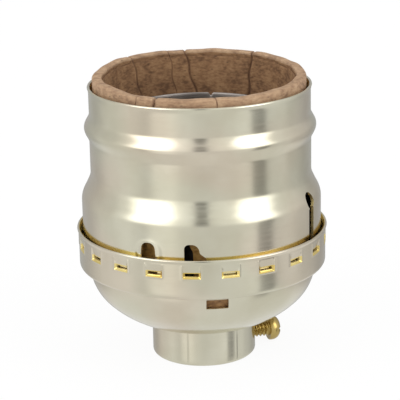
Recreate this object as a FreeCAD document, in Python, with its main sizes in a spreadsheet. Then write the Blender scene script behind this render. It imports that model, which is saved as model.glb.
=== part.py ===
"""Keyless lamp holder for a 26 mm screw lamp, standing on the neck of its cap.

The drawn brass shell and its fibre liner lift off the cap. The moulded base stays in the
cap and carries the rolled screw shell, the centre contact and the two wire terminals.
Millimetres and degrees. The origin is the centre of the neck's lower face, +Z runs up to
the lamp, and azimuths turn from the front (-Y) towards +X.
"""
import FreeCAD, Part
import math
import os
import Sketcher

doc = FreeCAD.newDocument("lamp_holder")
sheet = doc.addObject("Spreadsheet::Sheet", "sizes")


# ---------------------------------------------------------------- sizes and expressions

class Size:
    """A length or angle that carries its number and the sheet expression that gives it."""

    def __init__(self, number, text=None):
        self.number = float(number)
        self.text = repr(number) if text is None else text

    def __add__(self, other):
        other = as_size(other)
        return Size(self.number + other.number, "(%s + %s)" % (self.text, other.text))

    def __sub__(self, other):
        other = as_size(other)
        return Size(self.number - other.number, "(%s - %s)" % (self.text, other.text))

    def __mul__(self, other):
        other = as_size(other)
        return Size(self.number * other.number, "(%s * %s)" % (self.text, other.text))

    def __truediv__(self, other):
        other = as_size(other)
        return Size(self.number / other.number, "(%s / %s)" % (self.text, other.text))

    def __neg__(self):
        return Size(-self.number, "(0 - %s)" % self.text)

    def __rsub__(self, other):
        return as_size(other) - self

    __radd__ = __add__
    __rmul__ = __mul__


def as_size(value):
    return value if isinstance(value, Size) else Size(value)


def root(value):
    return Size(math.sqrt(value.number), "sqrt(%s)" % value.text)


def cosine(angle):
    return Size(math.cos(math.radians(angle.number)), "cos(%s)" % angle.text)


def sine(angle):
    return Size(math.sin(math.radians(angle.number)), "sin(%s)" % angle.text)


rows = []


def size(name, number, note):
    """Write one driving size on its own row of the sheet."""
    rows.append(name)
    row = len(rows)
    sheet.set("A%d" % row, note)
    sheet.set("B%d" % row, str(number))
    sheet.setAlias("B%d" % row, name)
    return Size(number, "sizes.%s" % name)


# clearances
seat_gap = size("seat_gap", 0.3, "clearance of a curved seat")
slip_gap = size("slip_gap", 0.06, "radial clearance round a screw")
rivet_gap = size("rivet_gap", 0.1, "radial clearance round a rivet")
liner_gap = size("liner_gap", 0.2, "clearance between the cap and its liner")

# cap: ring, dome and neck drawn from one sheet
cap_wall = size("cap_wall", 0.42, "sheet thickness of the cap")
ring_radius = size("ring_radius", 19.72, "outside of the ring")
rim_height = size("rim_height", 21.7, "top edge of the ring")
rim_flare = size("rim_flare", 0.2, "how far the ring's edge turns out")
rim_flare_height = size("rim_flare_height", 0.6, "height of the turned edge")
ring_round = size("ring_round", 0.6, "outside corner of the ring's foot")
step_height = size("step_height", 15.35, "underside of the ring")
ring_step = size("ring_step", 1.59, "how far the ring stands out past the dome")
dome_side = size("dome_side", 7.64, "radius of the dome's side")
dome_turn = size("dome_turn", 45.0, "angle where the side becomes the floor")
dome_floor = size("dome_floor", 15.62, "radius of the dome's floor")
neck_radius = size("neck_radius", 8.33, "outside of the neck")
neck_round = size("neck_round", 0.5, "corner at the neck's foot")
lip_radius = size("lip_radius", 7.3, "hole in the neck's turned foot")

# windows lanced round the ring
window_count = size("window_count", 21, "windows round the ring")
window_azimuth = size("window_azimuth", -4.98, "azimuth of the window near the front")
window_width = size("window_width", 2.7, "width of a window")
window_low = size("window_low", 18.8, "lower edge of a window")
window_high = size("window_high", 20.9, "fold of a window's tongue")
tongue_tip = size("tongue_tip", 19.85, "lower edge of a tongue")
tongue_dip = size("tongue_dip", 0.3, "how far a tongue's tip is pressed in")
tongue_gap = size("tongue_gap", 0.08, "cut beside a tongue")
tongue_set = size("tongue_set", 0.06, "how far a tongue's flat face lies inside the ring")
tongue_thickness = size("tongue_thickness", 0.34, "thickness of a tongue")

# square hole in the dome
dome_hole_azimuth = size("dome_hole_azimuth", 6.75, "azimuth of the dome's hole")
dome_hole_width = size("dome_hole_width", 3.4, "width of the dome's hole")
dome_hole_low = size("dome_hole_low", 12.95, "lower edge of the dome's hole")
dome_hole_high = size("dome_hole_high", 14.5, "upper edge of the dome's hole")

# fibre cup inside the cap
cup_thickness = size("cup_thickness", 0.7, "thickness of the fibre cup")
cup_top = size("cup_top", 16.8, "top edge of the fibre cup")

# threaded insert in the neck
bore_radius = size("bore_radius", 6.1, "bore of the neck insert")
insert_gap = size("insert_gap", 0.05, "radial clearance of the insert in the neck")
insert_top = size("insert_top", 6.7, "top of the insert")
insert_chamfer = size("insert_chamfer", 0.4, "chamfer at both ends of the bore")

# set screw in the neck
set_azimuth = size("set_azimuth", 106.0, "azimuth of the set screw")
set_height = size("set_height", 2.1, "height of the set screw's axis")
set_radius = size("set_radius", 1.25, "shank radius of the set screw")
set_tip = size("set_tip", 6.35, "distance of the tip from the lamp axis")
set_head_seat = size("set_head_seat", 11.2, "distance of the head's underside from the axis")
set_head_radius = size("set_head_radius", 1.92, "head radius of the set screw")
set_head_band = size("set_head_band", 0.35, "straight side of the set screw's head")
set_head_height = size("set_head_height", 1.7, "height of the set screw's head")
set_slot_width = size("set_slot_width", 0.6, "slot of the set screw")
set_slot_depth = size("set_slot_depth", 0.7, "depth of the set screw's slot")

# outer shell
shell_wall = size("shell_wall", 0.45, "sheet thickness of the shell")
shell_height = size("shell_height", 44.41, "top edge of the shell")
shell_flare = size("shell_flare", 0.25, "how far the shell's edge turns out")
shell_flare_height = size("shell_flare_height", 1.1, "height of the shell's turned edge")
top_step = size("top_step", 1.6, "how far the top lies inside the skirt")
bead_rise = size("bead_rise", 0.85, "how far the bead stands out past the top")
bead_drop = size("bead_drop", 6.56, "crest of the bead below the shell's top edge")
bead_half = size("bead_half", 2.24, "half the bead's height")
waist_rise = size("waist_rise", 0.07, "how far the waist stands out past the top")
shoulder_drop = size("shoulder_drop", 13.67, "top of the shoulder below the shell's top edge")
shoulder_fall = size("shoulder_fall", 4.49, "height of the shoulder")
skirt_gap = size("skirt_gap", 0.3, "clearance of the skirt in the ring")
tuck_height = size("tuck_height", 21.6, "where the skirt starts to draw in")
tuck_in = size("tuck_in", 0.7, "how far the skirt's lower edge is drawn in")

# notches, boss and keyhole in the skirt
arch_azimuth = size("arch_azimuth", -25.4, "azimuth of the small arch")
arch_width = size("arch_width", 2.1, "width of the small arch")
arch_top = size("arch_top", 23.9, "top of the small arch")
arch_mouth = size("arch_mouth", 2.9, "width of the small arch's mouth")
arch_mouth_height = size("arch_mouth_height", 21.9, "where the small arch opens out")
boss_radius = size("boss_radius", 2.25, "pressed round boss about the small arch")
boss_above = size("boss_above", 0.6, "centre of the boss above the ring's rim")
boss_rise = size("boss_rise", 0.15, "how far the boss stands out")
boss_drop = size("boss_drop", 1.15, "flat lower edge of the boss below its centre")
gate_azimuth = size("gate_azimuth", -5.0, "azimuth of the wide notch")
gate_width = size("gate_width", 2.2, "width of the wide notch")
gate_top = size("gate_top", 23.95, "top of the wide notch")
gate_mouth = size("gate_mouth", 2.3, "how far the wide notch opens to one side")
gate_mouth_height = size("gate_mouth_height", 21.7, "where the wide notch is widest")
key_azimuth = size("key_azimuth", 63.2, "azimuth of the keyhole")
key_head_radius = size("key_head_radius", 1.4, "round head of the keyhole")
key_top = size("key_top", 28.6, "top of the keyhole")
key_width = size("key_width", 2.0, "width of the keyhole's slot")

# fibre liner of the shell
liner_thickness = size("liner_thickness", 1.5, "thickness of the shell's liner")
liner_rise = size("liner_rise", 1.39, "how far the liner stands above the shell")
liner_low = size("liner_low", 17.1, "lower edge of the shell's liner")
liner_cut = size("liner_cut", 0.6, "how much wider the liner's notches are each side")

# moulded base
block_inset = size("block_inset", 1.5, "side of the base's block inside the rivet circle")
flat_depth = size("flat_depth", 0.7, "depth of the terminal flats in the block")
block_height = size("block_height", 7.6, "height of the block below the ledge")
foot_width = size("foot_width", 1.3, "radial width of the base's feet")
wire_gap = size("wire_gap", 8.0, "gap between the feet for the wires")
ledge_height = size("ledge_height", 18.0, "underside of the ledge")
ledge_gap = size("ledge_gap", 0.65, "clearance of the ledge in the liner")
ledge_round = size("ledge_round", 0.8, "lower corner of the ledge")
collar_top = size("collar_top", 24.3, "top of the base's collar")
collar_gap = size("collar_gap", 0.15, "clearance of the screw shell in the collar")
shell_seat = size("shell_seat", 20.6, "floor that the screw shell stands on")
well_wall = size("well_wall", 1.9, "wall between the contact's well and the block's side")
well_floor = size("well_floor", 17.0, "floor of the well")

# screw shell, rolled to take a 26 mm lamp thread of 7 turns to the inch
thread_wall = size("thread_wall", 0.35, "sheet thickness of the screw shell")
thread_depth = size("thread_depth", 0.9, "depth of the lamp thread")
thread_room = size("thread_room", 1.45, "clearance of the thread's crests in the liner")
thread_land = size("thread_land", 0.284, "plain wall between the thread and the rim")
thread_start = size("thread_start", 24.6, "where the thread starts")
thread_rim = size("thread_rim", 39.4, "rim of the screw shell")
floor_round = size("floor_round", 0.5, "corner of the screw shell's floor")
floor_lap = size("floor_lap", 0.2, "how far the screw shell's hole clears the well")
thread_flat = size("thread_flat", 0.9, "width of the flats on the thread's crests and valleys")
THREAD_TURNS = 4

# rivets
rivet_shank = size("rivet_shank", 0.9, "shank radius of the shell rivets")
rivet_head = size("rivet_head", 1.25, "head radius of the shell rivets")
rivet_head_height = size("rivet_head_height", 0.5, "head height of a rivet")
rivet_inset = size("rivet_inset", 1.8, "shell rivets inside the thread's valleys")
hot_rivet_shank = size("hot_rivet_shank", 1.0, "shank radius of the contact rivet")
hot_rivet_head = size("hot_rivet_head", 1.6, "head radius of the contact rivet")
hot_rivet_inset = size("hot_rivet_inset", 2.4, "contact rivet inside the base's feet")

# centre contact
leaf_thickness = size("leaf_thickness", 0.4, "thickness of the contact leaf")
leaf_width = size("leaf_width", 4.0, "width of the contact leaf")
leaf_heel_run = size("leaf_heel_run", 1.2, "end of the leaf's foot past the rivet")
leaf_bend_run = size("leaf_bend_run", 2.0, "where the leaf turns up before the rivet")
leaf_crown = size("leaf_crown", 1.2, "half width of the leaf's crown")
leaf_rise = size("leaf_rise", 1.2, "rise of the leaf to its crown")
leaf_crown_rise = size("leaf_crown_rise", 0.35, "rise of the crown itself")
leaf_nose = size("leaf_nose", 2.6, "reach of the leaf's free end past the axis")
leaf_droop = size("leaf_droop", 0.4, "fall of the leaf's free end")

# terminals
plate_thickness = size("plate_thickness", 0.8, "thickness of a terminal plate")
plate_width = size("plate_width", 6.4, "width of a terminal plate")
plate_gap = size("plate_gap", 1.2, "top of the hot terminal plate below the ledge")
plate_below = size("plate_below", 3.1, "foot of the neutral terminal plate below its screw")
leg_beyond = size("leg_beyond", 1.6, "end of the neutral terminal's leg past the rivet")
leg_width = size("leg_width", 4.8, "width of the neutral terminal's leg")
strap_width = size("strap_width", 5.2, "width of the hot terminal's strap")
strap_turn = size("strap_turn", 2.4, "where the strap turns, inside the terminal flat")
strap_eye = size("strap_eye", 2.0, "half width of the strap at the rivet")

# terminal screws
bind_drop = size("bind_drop", 4.6, "axis of the terminal screws below the ledge")
bind_radius = size("bind_radius", 1.7, "shank radius of a terminal screw")
bind_depth = size("bind_depth", 3.8, "how deep a screw's tip lies inside the flat")
bind_head_radius = size("bind_head_radius", 3.1, "head radius of a terminal screw")
bind_head_band = size("bind_head_band", 0.7, "straight side of a terminal screw's head")
bind_head_height = size("bind_head_height", 1.9, "head height of a terminal screw")
bind_slot_width = size("bind_slot_width", 0.9, "slot of a terminal screw")
bind_slot_depth = size("bind_slot_depth", 0.9, "depth of a terminal screw's slot")

doc.recompute()

# places that follow from the sizes
ZERO = Size(0, "0")
HALF = 0.5
# how far a cut starts or ends past what it cuts, in mm
PAST = 1
# share of a screw's shank that its tip is chamfered by
NOSE_SHARE = 0.3
# share of a rivet's head that its flat top takes
RIVET_TOP_SHARE = 0.7
# how far the hot terminal's strap goes past the rivet, as a share of its half width
EYE_SHARE = 0.7
ring_bore = ring_radius - cap_wall
step_radius = ring_radius - ring_step
skirt_radius = ring_bore - skirt_gap
tuck_radius = skirt_radius - tuck_in
top_radius = skirt_radius - top_step
bead_radius = top_radius + bead_rise
waist_radius = top_radius + waist_rise
bead_height = shell_height - bead_drop
shoulder_top = shell_height - shoulder_drop
shoulder_low = shoulder_top - shoulder_fall
shell_foot = step_height + cap_wall + seat_gap
boss_height = rim_height + boss_above
boss_low = boss_height - boss_drop
liner_top = shell_height + liner_rise
liner_outer = top_radius - shell_wall - seat_gap
liner_inner = liner_outer - liner_thickness
ledge_radius = liner_inner - ledge_gap
thread_crest = liner_inner - thread_room
thread_root = thread_crest - thread_depth
rivet_circle = thread_root - rivet_inset
block_radius = rivet_circle - block_inset
block_flat = block_radius - flat_depth
foot_radius = block_radius - foot_width
well_radius = block_radius - well_wall
thread_pitch = (thread_rim - thread_land - thread_start) / THREAD_TURNS
floor_hole = well_radius + floor_lap
hot_rivet_reach = foot_radius - hot_rivet_inset
leaf_heel = hot_rivet_reach + leaf_heel_run
leaf_bend = hot_rivet_reach - leaf_bend_run
leg_reach = rivet_circle + leg_beyond
block_floor = ledge_height - block_height
bind_height = ledge_height - bind_drop
plate_top = ledge_height - plate_gap
plate_low = bind_height - plate_below
strap_elbow = block_flat - strap_turn
bind_tip = block_flat - bind_depth
cup_outer_inset = cap_wall + liner_gap
cup_inner_inset = cup_outer_inset + cup_thickness
insert_outer = neck_radius - cap_wall - insert_gap
floor_centre_x = step_radius - dome_side + (dome_side - dome_floor) * cosine(dome_turn)
floor_centre_z = step_height - (dome_side - dome_floor) * sine(dome_turn)
REACH = ring_radius * 2


def floor_height(inset, radius):
    """Height of the dome's floor, drawn in by inset, at a radius."""
    arm = dome_floor - inset
    away = radius - floor_centre_x
    return floor_centre_z - root(arm * arm - away * away)


foot_low = floor_height(cup_inner_inset, block_radius) + seat_gap
cup_hole = insert_outer + seat_gap
collar_inner = thread_root + collar_gap
floor_top = shell_seat + thread_wall
leaf_low = well_floor + seat_gap
hot_rivet_top = leaf_low + leaf_thickness + seat_gap
strap_low = block_floor - plate_thickness
leg_low = ledge_height - plate_thickness


# ---------------------------------------------------------------- drawing helpers

class Path:
    """A chain of lines and arcs. A bend is an arc's radius, and is positive where the
    arc's centre lies to the left of the way along the chain."""

    def __init__(self, x, y):
        self.points = [(as_size(x), as_size(y))]
        self.bends = []

    def line(self, x, y):
        return self.arc(x, y, None)

    def arc(self, x, y, bend):
        self.points.append((as_size(x), as_size(y)))
        self.bends.append(bend)
        return self

    def swing(self, x, y, inset):
        """Follow the wall down from one vertical run to another by two equal arcs that
        meet on a slope. The end is given on the outside, and inset draws the wall in."""
        x, y = as_size(x), as_size(y)
        start_x = self.points[-1][0] + inset
        start_y = self.points[-1][1]
        across = x - start_x
        down = start_y - y
        way = 1 if across.number > 0 else -1
        radius = (across * across + down * down) / (across * (4 * way))
        lean = down / (radius * 2)
        upright = 1 - across * way / (radius * 2)
        middle_x = (start_x + x) * HALF - inset * upright
        middle_y = (start_y + y) * HALF - inset * lean * way
        self.arc(middle_x, middle_y, radius * way + inset)
        return self.arc(x - inset, y, radius * -way + inset)

    def then(self, other):
        """Go on by a straight line to another path, walked from its end to its start."""
        self.line(*other.points[-1])
        for index in range(len(other.bends) - 1, -1, -1):
            bend = other.bends[index]
            self.arc(*other.points[index], None if bend is None else -bend)
        return self


def pin(sketch, number, place, axis, value):
    """Hold one coordinate of a point to its expression."""
    if value.text == "0":
        sketch.addConstraint(Sketcher.Constraint("PointOnObject", number, place, axis))
        return
    kind = "DistanceX" if axis == -2 else "DistanceY"
    row = sketch.addConstraint(Sketcher.Constraint(kind, -1, 1, number, place, value.number))
    sketch.setExpression("Constraints[%d]" % row, value.text)


def draw(sketch, path, closing=None):
    """Close a path in a sketch, by a line or by the closing bend, and bind every corner
    and radius."""
    count = len(path.points)
    bends = path.bends + [closing]
    ends = []
    for index in range(count):
        start = FreeCAD.Vector(*[value.number for value in path.points[index]])
        finish = FreeCAD.Vector(*[value.number for value in path.points[(index + 1) % count]])
        bend = bends[index]
        if bend is None:
            number = sketch.addGeometry(Part.LineSegment(start, finish), False)
            ends.append((number, 1, 2))
            continue
        radius = abs(bend.number)
        side = 1 if bend.number > 0 else -1
        chord = finish - start
        left = FreeCAD.Vector(-chord.y, chord.x) / chord.Length
        depth = math.sqrt(radius ** 2 - (chord.Length / 2) ** 2)
        centre = (start + finish) / 2 + left * (side * depth)
        first, last = (start, finish) if side > 0 else (finish, start)
        low = math.atan2(first.y - centre.y, first.x - centre.x)
        high = math.atan2(last.y - centre.y, last.x - centre.x)
        circle = Part.Circle(centre, FreeCAD.Vector(0, 0, 1), radius)
        number = sketch.addGeometry(Part.ArcOfCircle(circle, low, high), False)
        ends.append((number, 1, 2) if side > 0 else (number, 2, 1))
        row = sketch.addConstraint(Sketcher.Constraint("Radius", number, radius))
        sketch.setExpression("Constraints[%d]" % row, (bend * side).text)
    for index, (number, start, finish) in enumerate(ends):
        following = ends[(index + 1) % count]
        joint = Sketcher.Constraint("Coincident", number, finish, following[0], following[1])
        sketch.addConstraint(joint)
        pin(sketch, number, start, -2, path.points[index][0])
        pin(sketch, number, start, -1, path.points[index][1])


def circle(sketch, x, y, radius):
    """Draw a circle and bind its centre and radius."""
    x, y, radius = as_size(x), as_size(y), as_size(radius)
    centre = FreeCAD.Vector(x.number, y.number)
    shape = Part.Circle(centre, FreeCAD.Vector(0, 0, 1), radius.number)
    number = sketch.addGeometry(shape, False)
    row = sketch.addConstraint(Sketcher.Constraint("Radius", number, radius.number))
    sketch.setExpression("Constraints[%d]" % row, radius.text)
    pin(sketch, number, 3, -2, x)
    pin(sketch, number, 3, -1, y)


def rectangle(low_x, low_y, high_x, high_y):
    path = Path(low_x, low_y).line(high_x, low_y)
    return path.line(high_x, high_y).line(low_x, high_y)


bodies = []


def new_body(label):
    body = doc.addObject("PartDesign::Body", label)
    body.Label = label
    bodies.append(body)
    return body


def origin_feature(body, role):
    return [item for item in body.Origin.OriginFeatures if item.Role == role][0]


def new_sketch(body, name, turn=None, out=None, role="XZ_Plane"):
    """A sketch on one of the body's own planes. The XZ plane faces the front: turn swings
    it to an azimuth about the lamp axis, and out moves it along the way it faces."""
    sketch = body.newObject("Sketcher::SketchObject", body.Label + "_" + name)
    sketch.AttachmentSupport = [(origin_feature(body, role), "")]
    sketch.MapMode = "FlatFace"
    if turn is not None or out is not None:
        turn = as_size(0 if turn is None else turn)
        out = as_size(0 if out is None else out)
        axis = "vector(0; 1; 0)" if role == "XZ_Plane" else "vector(0; 0; 1)"
        swung = "placement(vector(0; 0; 0); rotation(%s; %s))" % (axis, turn.text)
        moved = "placement(vector(0; 0; %s); rotation(0; 0; 0))" % out.text
        sketch.setExpression("AttachmentOffset", swung + " * " + moved)
    return sketch


def revolve(body, name, path):
    sketch = new_sketch(body, name + "_profile")
    draw(sketch, path)
    feature = body.newObject("PartDesign::Revolution", body.Label + "_" + name)
    feature.Profile = sketch
    feature.ReferenceAxis = (sketch, ["V_Axis"])
    feature.Angle = 360.0
    doc.recompute()
    return feature


def pad(body, name, sketch, length):
    feature = body.newObject("PartDesign::Pad", body.Label + "_" + name)
    feature.Profile = sketch
    feature.Type = "Length"
    feature.Length = length.number
    feature.setExpression("Length", length.text)
    doc.recompute()
    return feature


def cut(body, name, sketch, length, outward=True):
    """Pocket a sketch out of the body, and make sure that it takes something away."""
    before = body.Shape.Volume
    feature = body.newObject("PartDesign::Pocket", body.Label + "_" + name)
    feature.Profile = sketch
    feature.Type = "Length"
    feature.Length = length.number
    feature.setExpression("Length", length.text)
    feature.Reversed = outward
    doc.recompute()
    if not body.Shape.Volume < before:
        raise RuntimeError("nothing is cut by " + feature.Name)
    return feature


def cut_path(body, name, path, turn, out=ZERO, length=REACH):
    """Cut a closed path out of the wall that faces an azimuth."""
    sketch = new_sketch(body, name + "_outline", turn, out)
    draw(sketch, path)
    return cut(body, name, sketch, length)


def around(body, name, features, count):
    """Repeat features round the lamp axis."""
    pattern = body.newObject("PartDesign::PolarPattern", body.Label + "_" + name)
    pattern.Originals = features
    pattern.Axis = (origin_feature(body, "Z_Axis"), [""])
    pattern.Angle = 360.0
    pattern.Occurrences = int(count.number)
    pattern.setExpression("Occurrences", count.text)
    body.Tip = pattern
    doc.recompute()
    return pattern


# ---------------------------------------------------------------- cap

def add_dome(path, inset, end_radius):
    """Go down the dome from its top to a radius, with the wall drawn in by inset."""
    arm = dome_side - inset
    middle_x = step_radius - dome_side + arm * cosine(dome_turn)
    middle_z = step_height - arm * sine(dome_turn)
    path.arc(middle_x, middle_z, inset - dome_side)
    return path.arc(end_radius, floor_height(inset, end_radius), inset - dome_floor)


def cap_side(inset):
    """One face of the cap from its rim to the top of the dome."""
    path = Path(ring_radius + rim_flare - inset, rim_height)
    path.line(ring_radius - inset, rim_height - rim_flare_height)
    path.line(ring_radius - inset, step_height + ring_round)
    path.arc(ring_radius - ring_round, step_height + inset, inset - ring_round)
    return path.line(step_radius - inset, step_height + inset)


def make_cap():
    body = new_body("cap")
    outside = add_dome(cap_side(ZERO), ZERO, neck_radius)
    outside.line(neck_radius, neck_round)
    outside.arc(neck_radius - neck_round, ZERO, -neck_round)
    outside.line(lip_radius, ZERO)
    inside = cap_side(cap_wall)
    inside.line(step_radius - cap_wall, step_height)
    add_dome(inside, cap_wall, neck_radius - cap_wall)
    inside.line(neck_radius - cap_wall, cap_wall)
    inside.line(lip_radius, cap_wall)
    revolve(body, "bowl", outside.then(inside))

    half = window_width * HALF
    hole = rectangle(-half, window_low, half, window_high)
    window = cut_path(body, "window", hole, window_azimuth)

    # the tongue hangs from the window's upper edge and leans inwards
    tongue_half = half - tongue_gap
    side = new_sketch(body, "tongue_side", window_azimuth - 90, -tongue_half)
    outer = ring_radius - tongue_set
    inner = outer - tongue_thickness
    lean = Path(outer, window_high + cap_wall).line(inner, window_high + cap_wall)
    lean.line(inner, window_high).line(inner - tongue_dip, tongue_tip)
    lean.line(outer - tongue_dip, tongue_tip).line(outer, window_high)
    draw(side, lean)
    tongue = pad(body, "tongue", side, tongue_half * 2)
    around(body, "windows", [window, tongue], window_count)

    half = dome_hole_width * HALF
    hole = rectangle(-half, dome_hole_low, half, dome_hole_high)
    cut_path(body, "dome_hole", hole, dome_hole_azimuth)
    hole = new_sketch(body, "set_hole_outline", set_azimuth)
    circle(hole, ZERO, set_height, set_radius + slip_gap)
    cut(body, "set_hole", hole, neck_radius + PAST)


def make_cap_liner():
    """Fibre cup that lines the dome and shows through the dome's hole."""
    body = new_body("cap_liner")
    faces = []
    for inset in (cup_outer_inset, cup_inner_inset):
        face = Path(step_radius - inset, cup_top)
        face.line(step_radius - inset, step_height)
        faces.append(add_dome(face, inset, cup_hole))
    revolve(body, "cup", faces[0].then(faces[1]))


def make_neck_insert():
    """Ring with the pipe thread, pressed into the neck. The bore is the thread's core."""
    body = new_body("neck_insert")
    ring = Path(bore_radius + insert_chamfer, cap_wall)
    ring.line(insert_outer, cap_wall).line(insert_outer, insert_top)
    ring.line(bore_radius + insert_chamfer, insert_top)
    ring.line(bore_radius, insert_top - insert_chamfer)
    ring.line(bore_radius, cap_wall + insert_chamfer)
    revolve(body, "ring", ring)
    hole = new_sketch(body, "set_hole_outline", set_azimuth)
    circle(hole, ZERO, set_height, set_radius + slip_gap)
    cut(body, "set_hole", hole, neck_radius + PAST)


# ---------------------------------------------------------------- screws and rivets

def make_screw(label, azimuth, height, shank, tip, seat, head, band, rise, slot_w, slot_d):
    """Slotted round-head screw that points along an azimuth. Distances run out from the
    lamp axis, and the screw's own axis is the body's Z."""
    body = new_body(label)
    nose = shank * NOSE_SHARE
    outline = Path(ZERO, tip)
    outline.line(shank - nose, tip).line(shank, tip + nose).line(shank, seat)
    outline.line(head, seat).line(head, seat + band)
    dome = rise - band
    outline.arc(ZERO, seat + rise, (head * head + dome * dome) / (dome * 2))
    revolve(body, "turned", outline)
    slot = new_sketch(body, "slot_outline", None, None)
    half = slot_w * HALF
    draw(slot, rectangle(-half, seat + rise - slot_d, half, seat + rise + PAST))
    feature = cut(body, "slot", slot, head * 3)
    feature.SideType = "Symmetric"
    doc.recompute()
    words = (height.text, (azimuth - 90).text)
    stand = "placement(vector(0; 0; %s); rotation(vector(0; 0; 1); %s))" % words
    tip_over = "placement(vector(0; 0; 0); rotation(vector(0; 1; 0); 90))"
    body.setExpression("Placement", stand + " * " + tip_over)


def make_rivet(label, x, y, low, high, shank, head, foot_head):
    """Rivet with a flat head at each end, standing at x, y."""
    body = new_body(label)
    outline = Path(ZERO, low - rivet_head_height)
    outline.line(foot_head, low - rivet_head_height).line(foot_head, low)
    outline.line(shank, low).line(shank, high)
    outline.line(head, high).line(head * RIVET_TOP_SHARE, high + rivet_head_height)
    outline.line(ZERO, high + rivet_head_height)
    revolve(body, "turned", outline)
    words = (as_size(x).text, as_size(y).text)
    body.setExpression("Placement", "placement(vector(%s; %s; 0); rotation(0; 0; 0))" % words)


# ---------------------------------------------------------------- shell and liner

def shell_side(inset):
    """One face of the outer shell from its top edge to its foot."""
    path = Path(top_radius + shell_flare - inset, shell_height)
    path.line(top_radius - inset, shell_height - shell_flare_height)
    path.line(top_radius - inset, bead_height + bead_half)
    path.swing(bead_radius, bead_height, inset)
    path.swing(waist_radius, bead_height - bead_half, inset)
    path.line(waist_radius - inset, shoulder_top)
    path.swing(skirt_radius, shoulder_low, inset)
    path.line(skirt_radius - inset, tuck_height)
    return path.line(tuck_radius - inset, shell_foot)


def arch(width, top, mouth_left, mouth_right, mouth_height, foot):
    """Notch with a round top that opens out to its mouth and runs down to the foot."""
    half = as_size(width) * HALF
    path = Path(-mouth_left, foot).line(mouth_right, foot)
    path.line(mouth_right, mouth_height)
    path.line(half, mouth_height + (top - mouth_height - half) * HALF)
    path.line(half, top - half)
    path.arc(ZERO, top, half)
    path.arc(-half, top - half, half)
    path.line(-half, mouth_height + (top - mouth_height - half) * HALF)
    return path.line(-mouth_left, mouth_height)


def keyhole(head_radius, top, width, foot):
    """Slot that runs up from the foot into a round head."""
    half = as_size(width) * HALF
    centre = top - head_radius
    neck = centre - root(head_radius * head_radius - half * half)
    path = Path(-half, foot).line(half, foot).line(half, neck)
    path.arc(head_radius, centre, head_radius)
    path.arc(ZERO, top, head_radius)
    path.arc(-head_radius, centre, head_radius)
    return path.arc(-half, neck, head_radius)


def cut_notches(body, extra, foot):
    """The two arches and the keyhole, each widened by extra on every side."""
    wide = extra * 2
    half = arch_mouth * HALF + extra
    shape = arch(arch_width + wide, arch_top + extra, half, half, arch_mouth_height, foot)
    cut_path(body, "arch", shape, arch_azimuth)
    half = gate_width * HALF + extra
    shape = arch(gate_width + wide, gate_top + extra, half, gate_mouth + extra,
                 gate_mouth_height, foot)
    cut_path(body, "gate", shape, gate_azimuth)
    shape = keyhole(key_head_radius + extra, key_top + extra, key_width + wide, foot)
    cut_path(body, "keyhole", shape, key_azimuth)


def make_outer_shell():
    body = new_body("outer_shell")
    revolve(body, "drawn", shell_side(ZERO).then(shell_side(shell_wall)))
    root_depth = skirt_radius - shell_wall * HALF
    boss = new_sketch(body, "boss_outline", arch_azimuth, root_depth)
    below = boss_height - boss_low
    half = root(boss_radius * boss_radius - below * below)
    disc = Path(-half, boss_low).line(half, boss_low)
    disc.arc(boss_radius, boss_height, boss_radius)
    disc.arc(ZERO, boss_height + boss_radius, boss_radius)
    disc.arc(-boss_radius, boss_height, boss_radius)
    draw(boss, disc, boss_radius)
    pad(body, "boss", boss, shell_wall * HALF + boss_rise)
    cut_notches(body, ZERO, shell_foot - PAST)


def make_shell_liner():
    body = new_body("shell_liner")
    revolve(body, "tube", rectangle(liner_inner, liner_low, liner_outer, liner_top))
    cut_notches(body, liner_cut, liner_low - PAST)


# ---------------------------------------------------------------- screw shell

def screw_shell_side(inset):
    """One face of the screw shell from its rim to the hole in its floor."""
    end = thread_start + thread_pitch * THREAD_TURNS
    path = Path(thread_root - inset, thread_rim)
    for turn in range(THREAD_TURNS):
        below = end - thread_pitch * turn
        path.line(thread_root - inset, below - thread_flat * HALF)
        path.line(thread_crest - inset, below - (thread_pitch - thread_flat) * HALF)
        path.line(thread_crest - inset, below - (thread_pitch + thread_flat) * HALF)
        path.line(thread_root - inset, below - thread_pitch + thread_flat * HALF)
    path.line(thread_root - inset, shell_seat + floor_round)
    path.arc(thread_root - floor_round, shell_seat + inset, inset - floor_round)
    return path.line(floor_hole, shell_seat + inset)


def make_screw_shell():
    body = new_body("screw_shell")
    revolve(body, "rolled", screw_shell_side(ZERO).then(screw_shell_side(thread_wall)))
    holes = new_sketch(body, "rivet_holes_outline", None, None, "XY_Plane")
    circle(holes, rivet_circle, ZERO, rivet_shank + rivet_gap)
    circle(holes, -rivet_circle, ZERO, rivet_shank + rivet_gap)
    cut(body, "rivet_holes", holes, shell_seat + PAST)


# ---------------------------------------------------------------- moulded base

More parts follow.
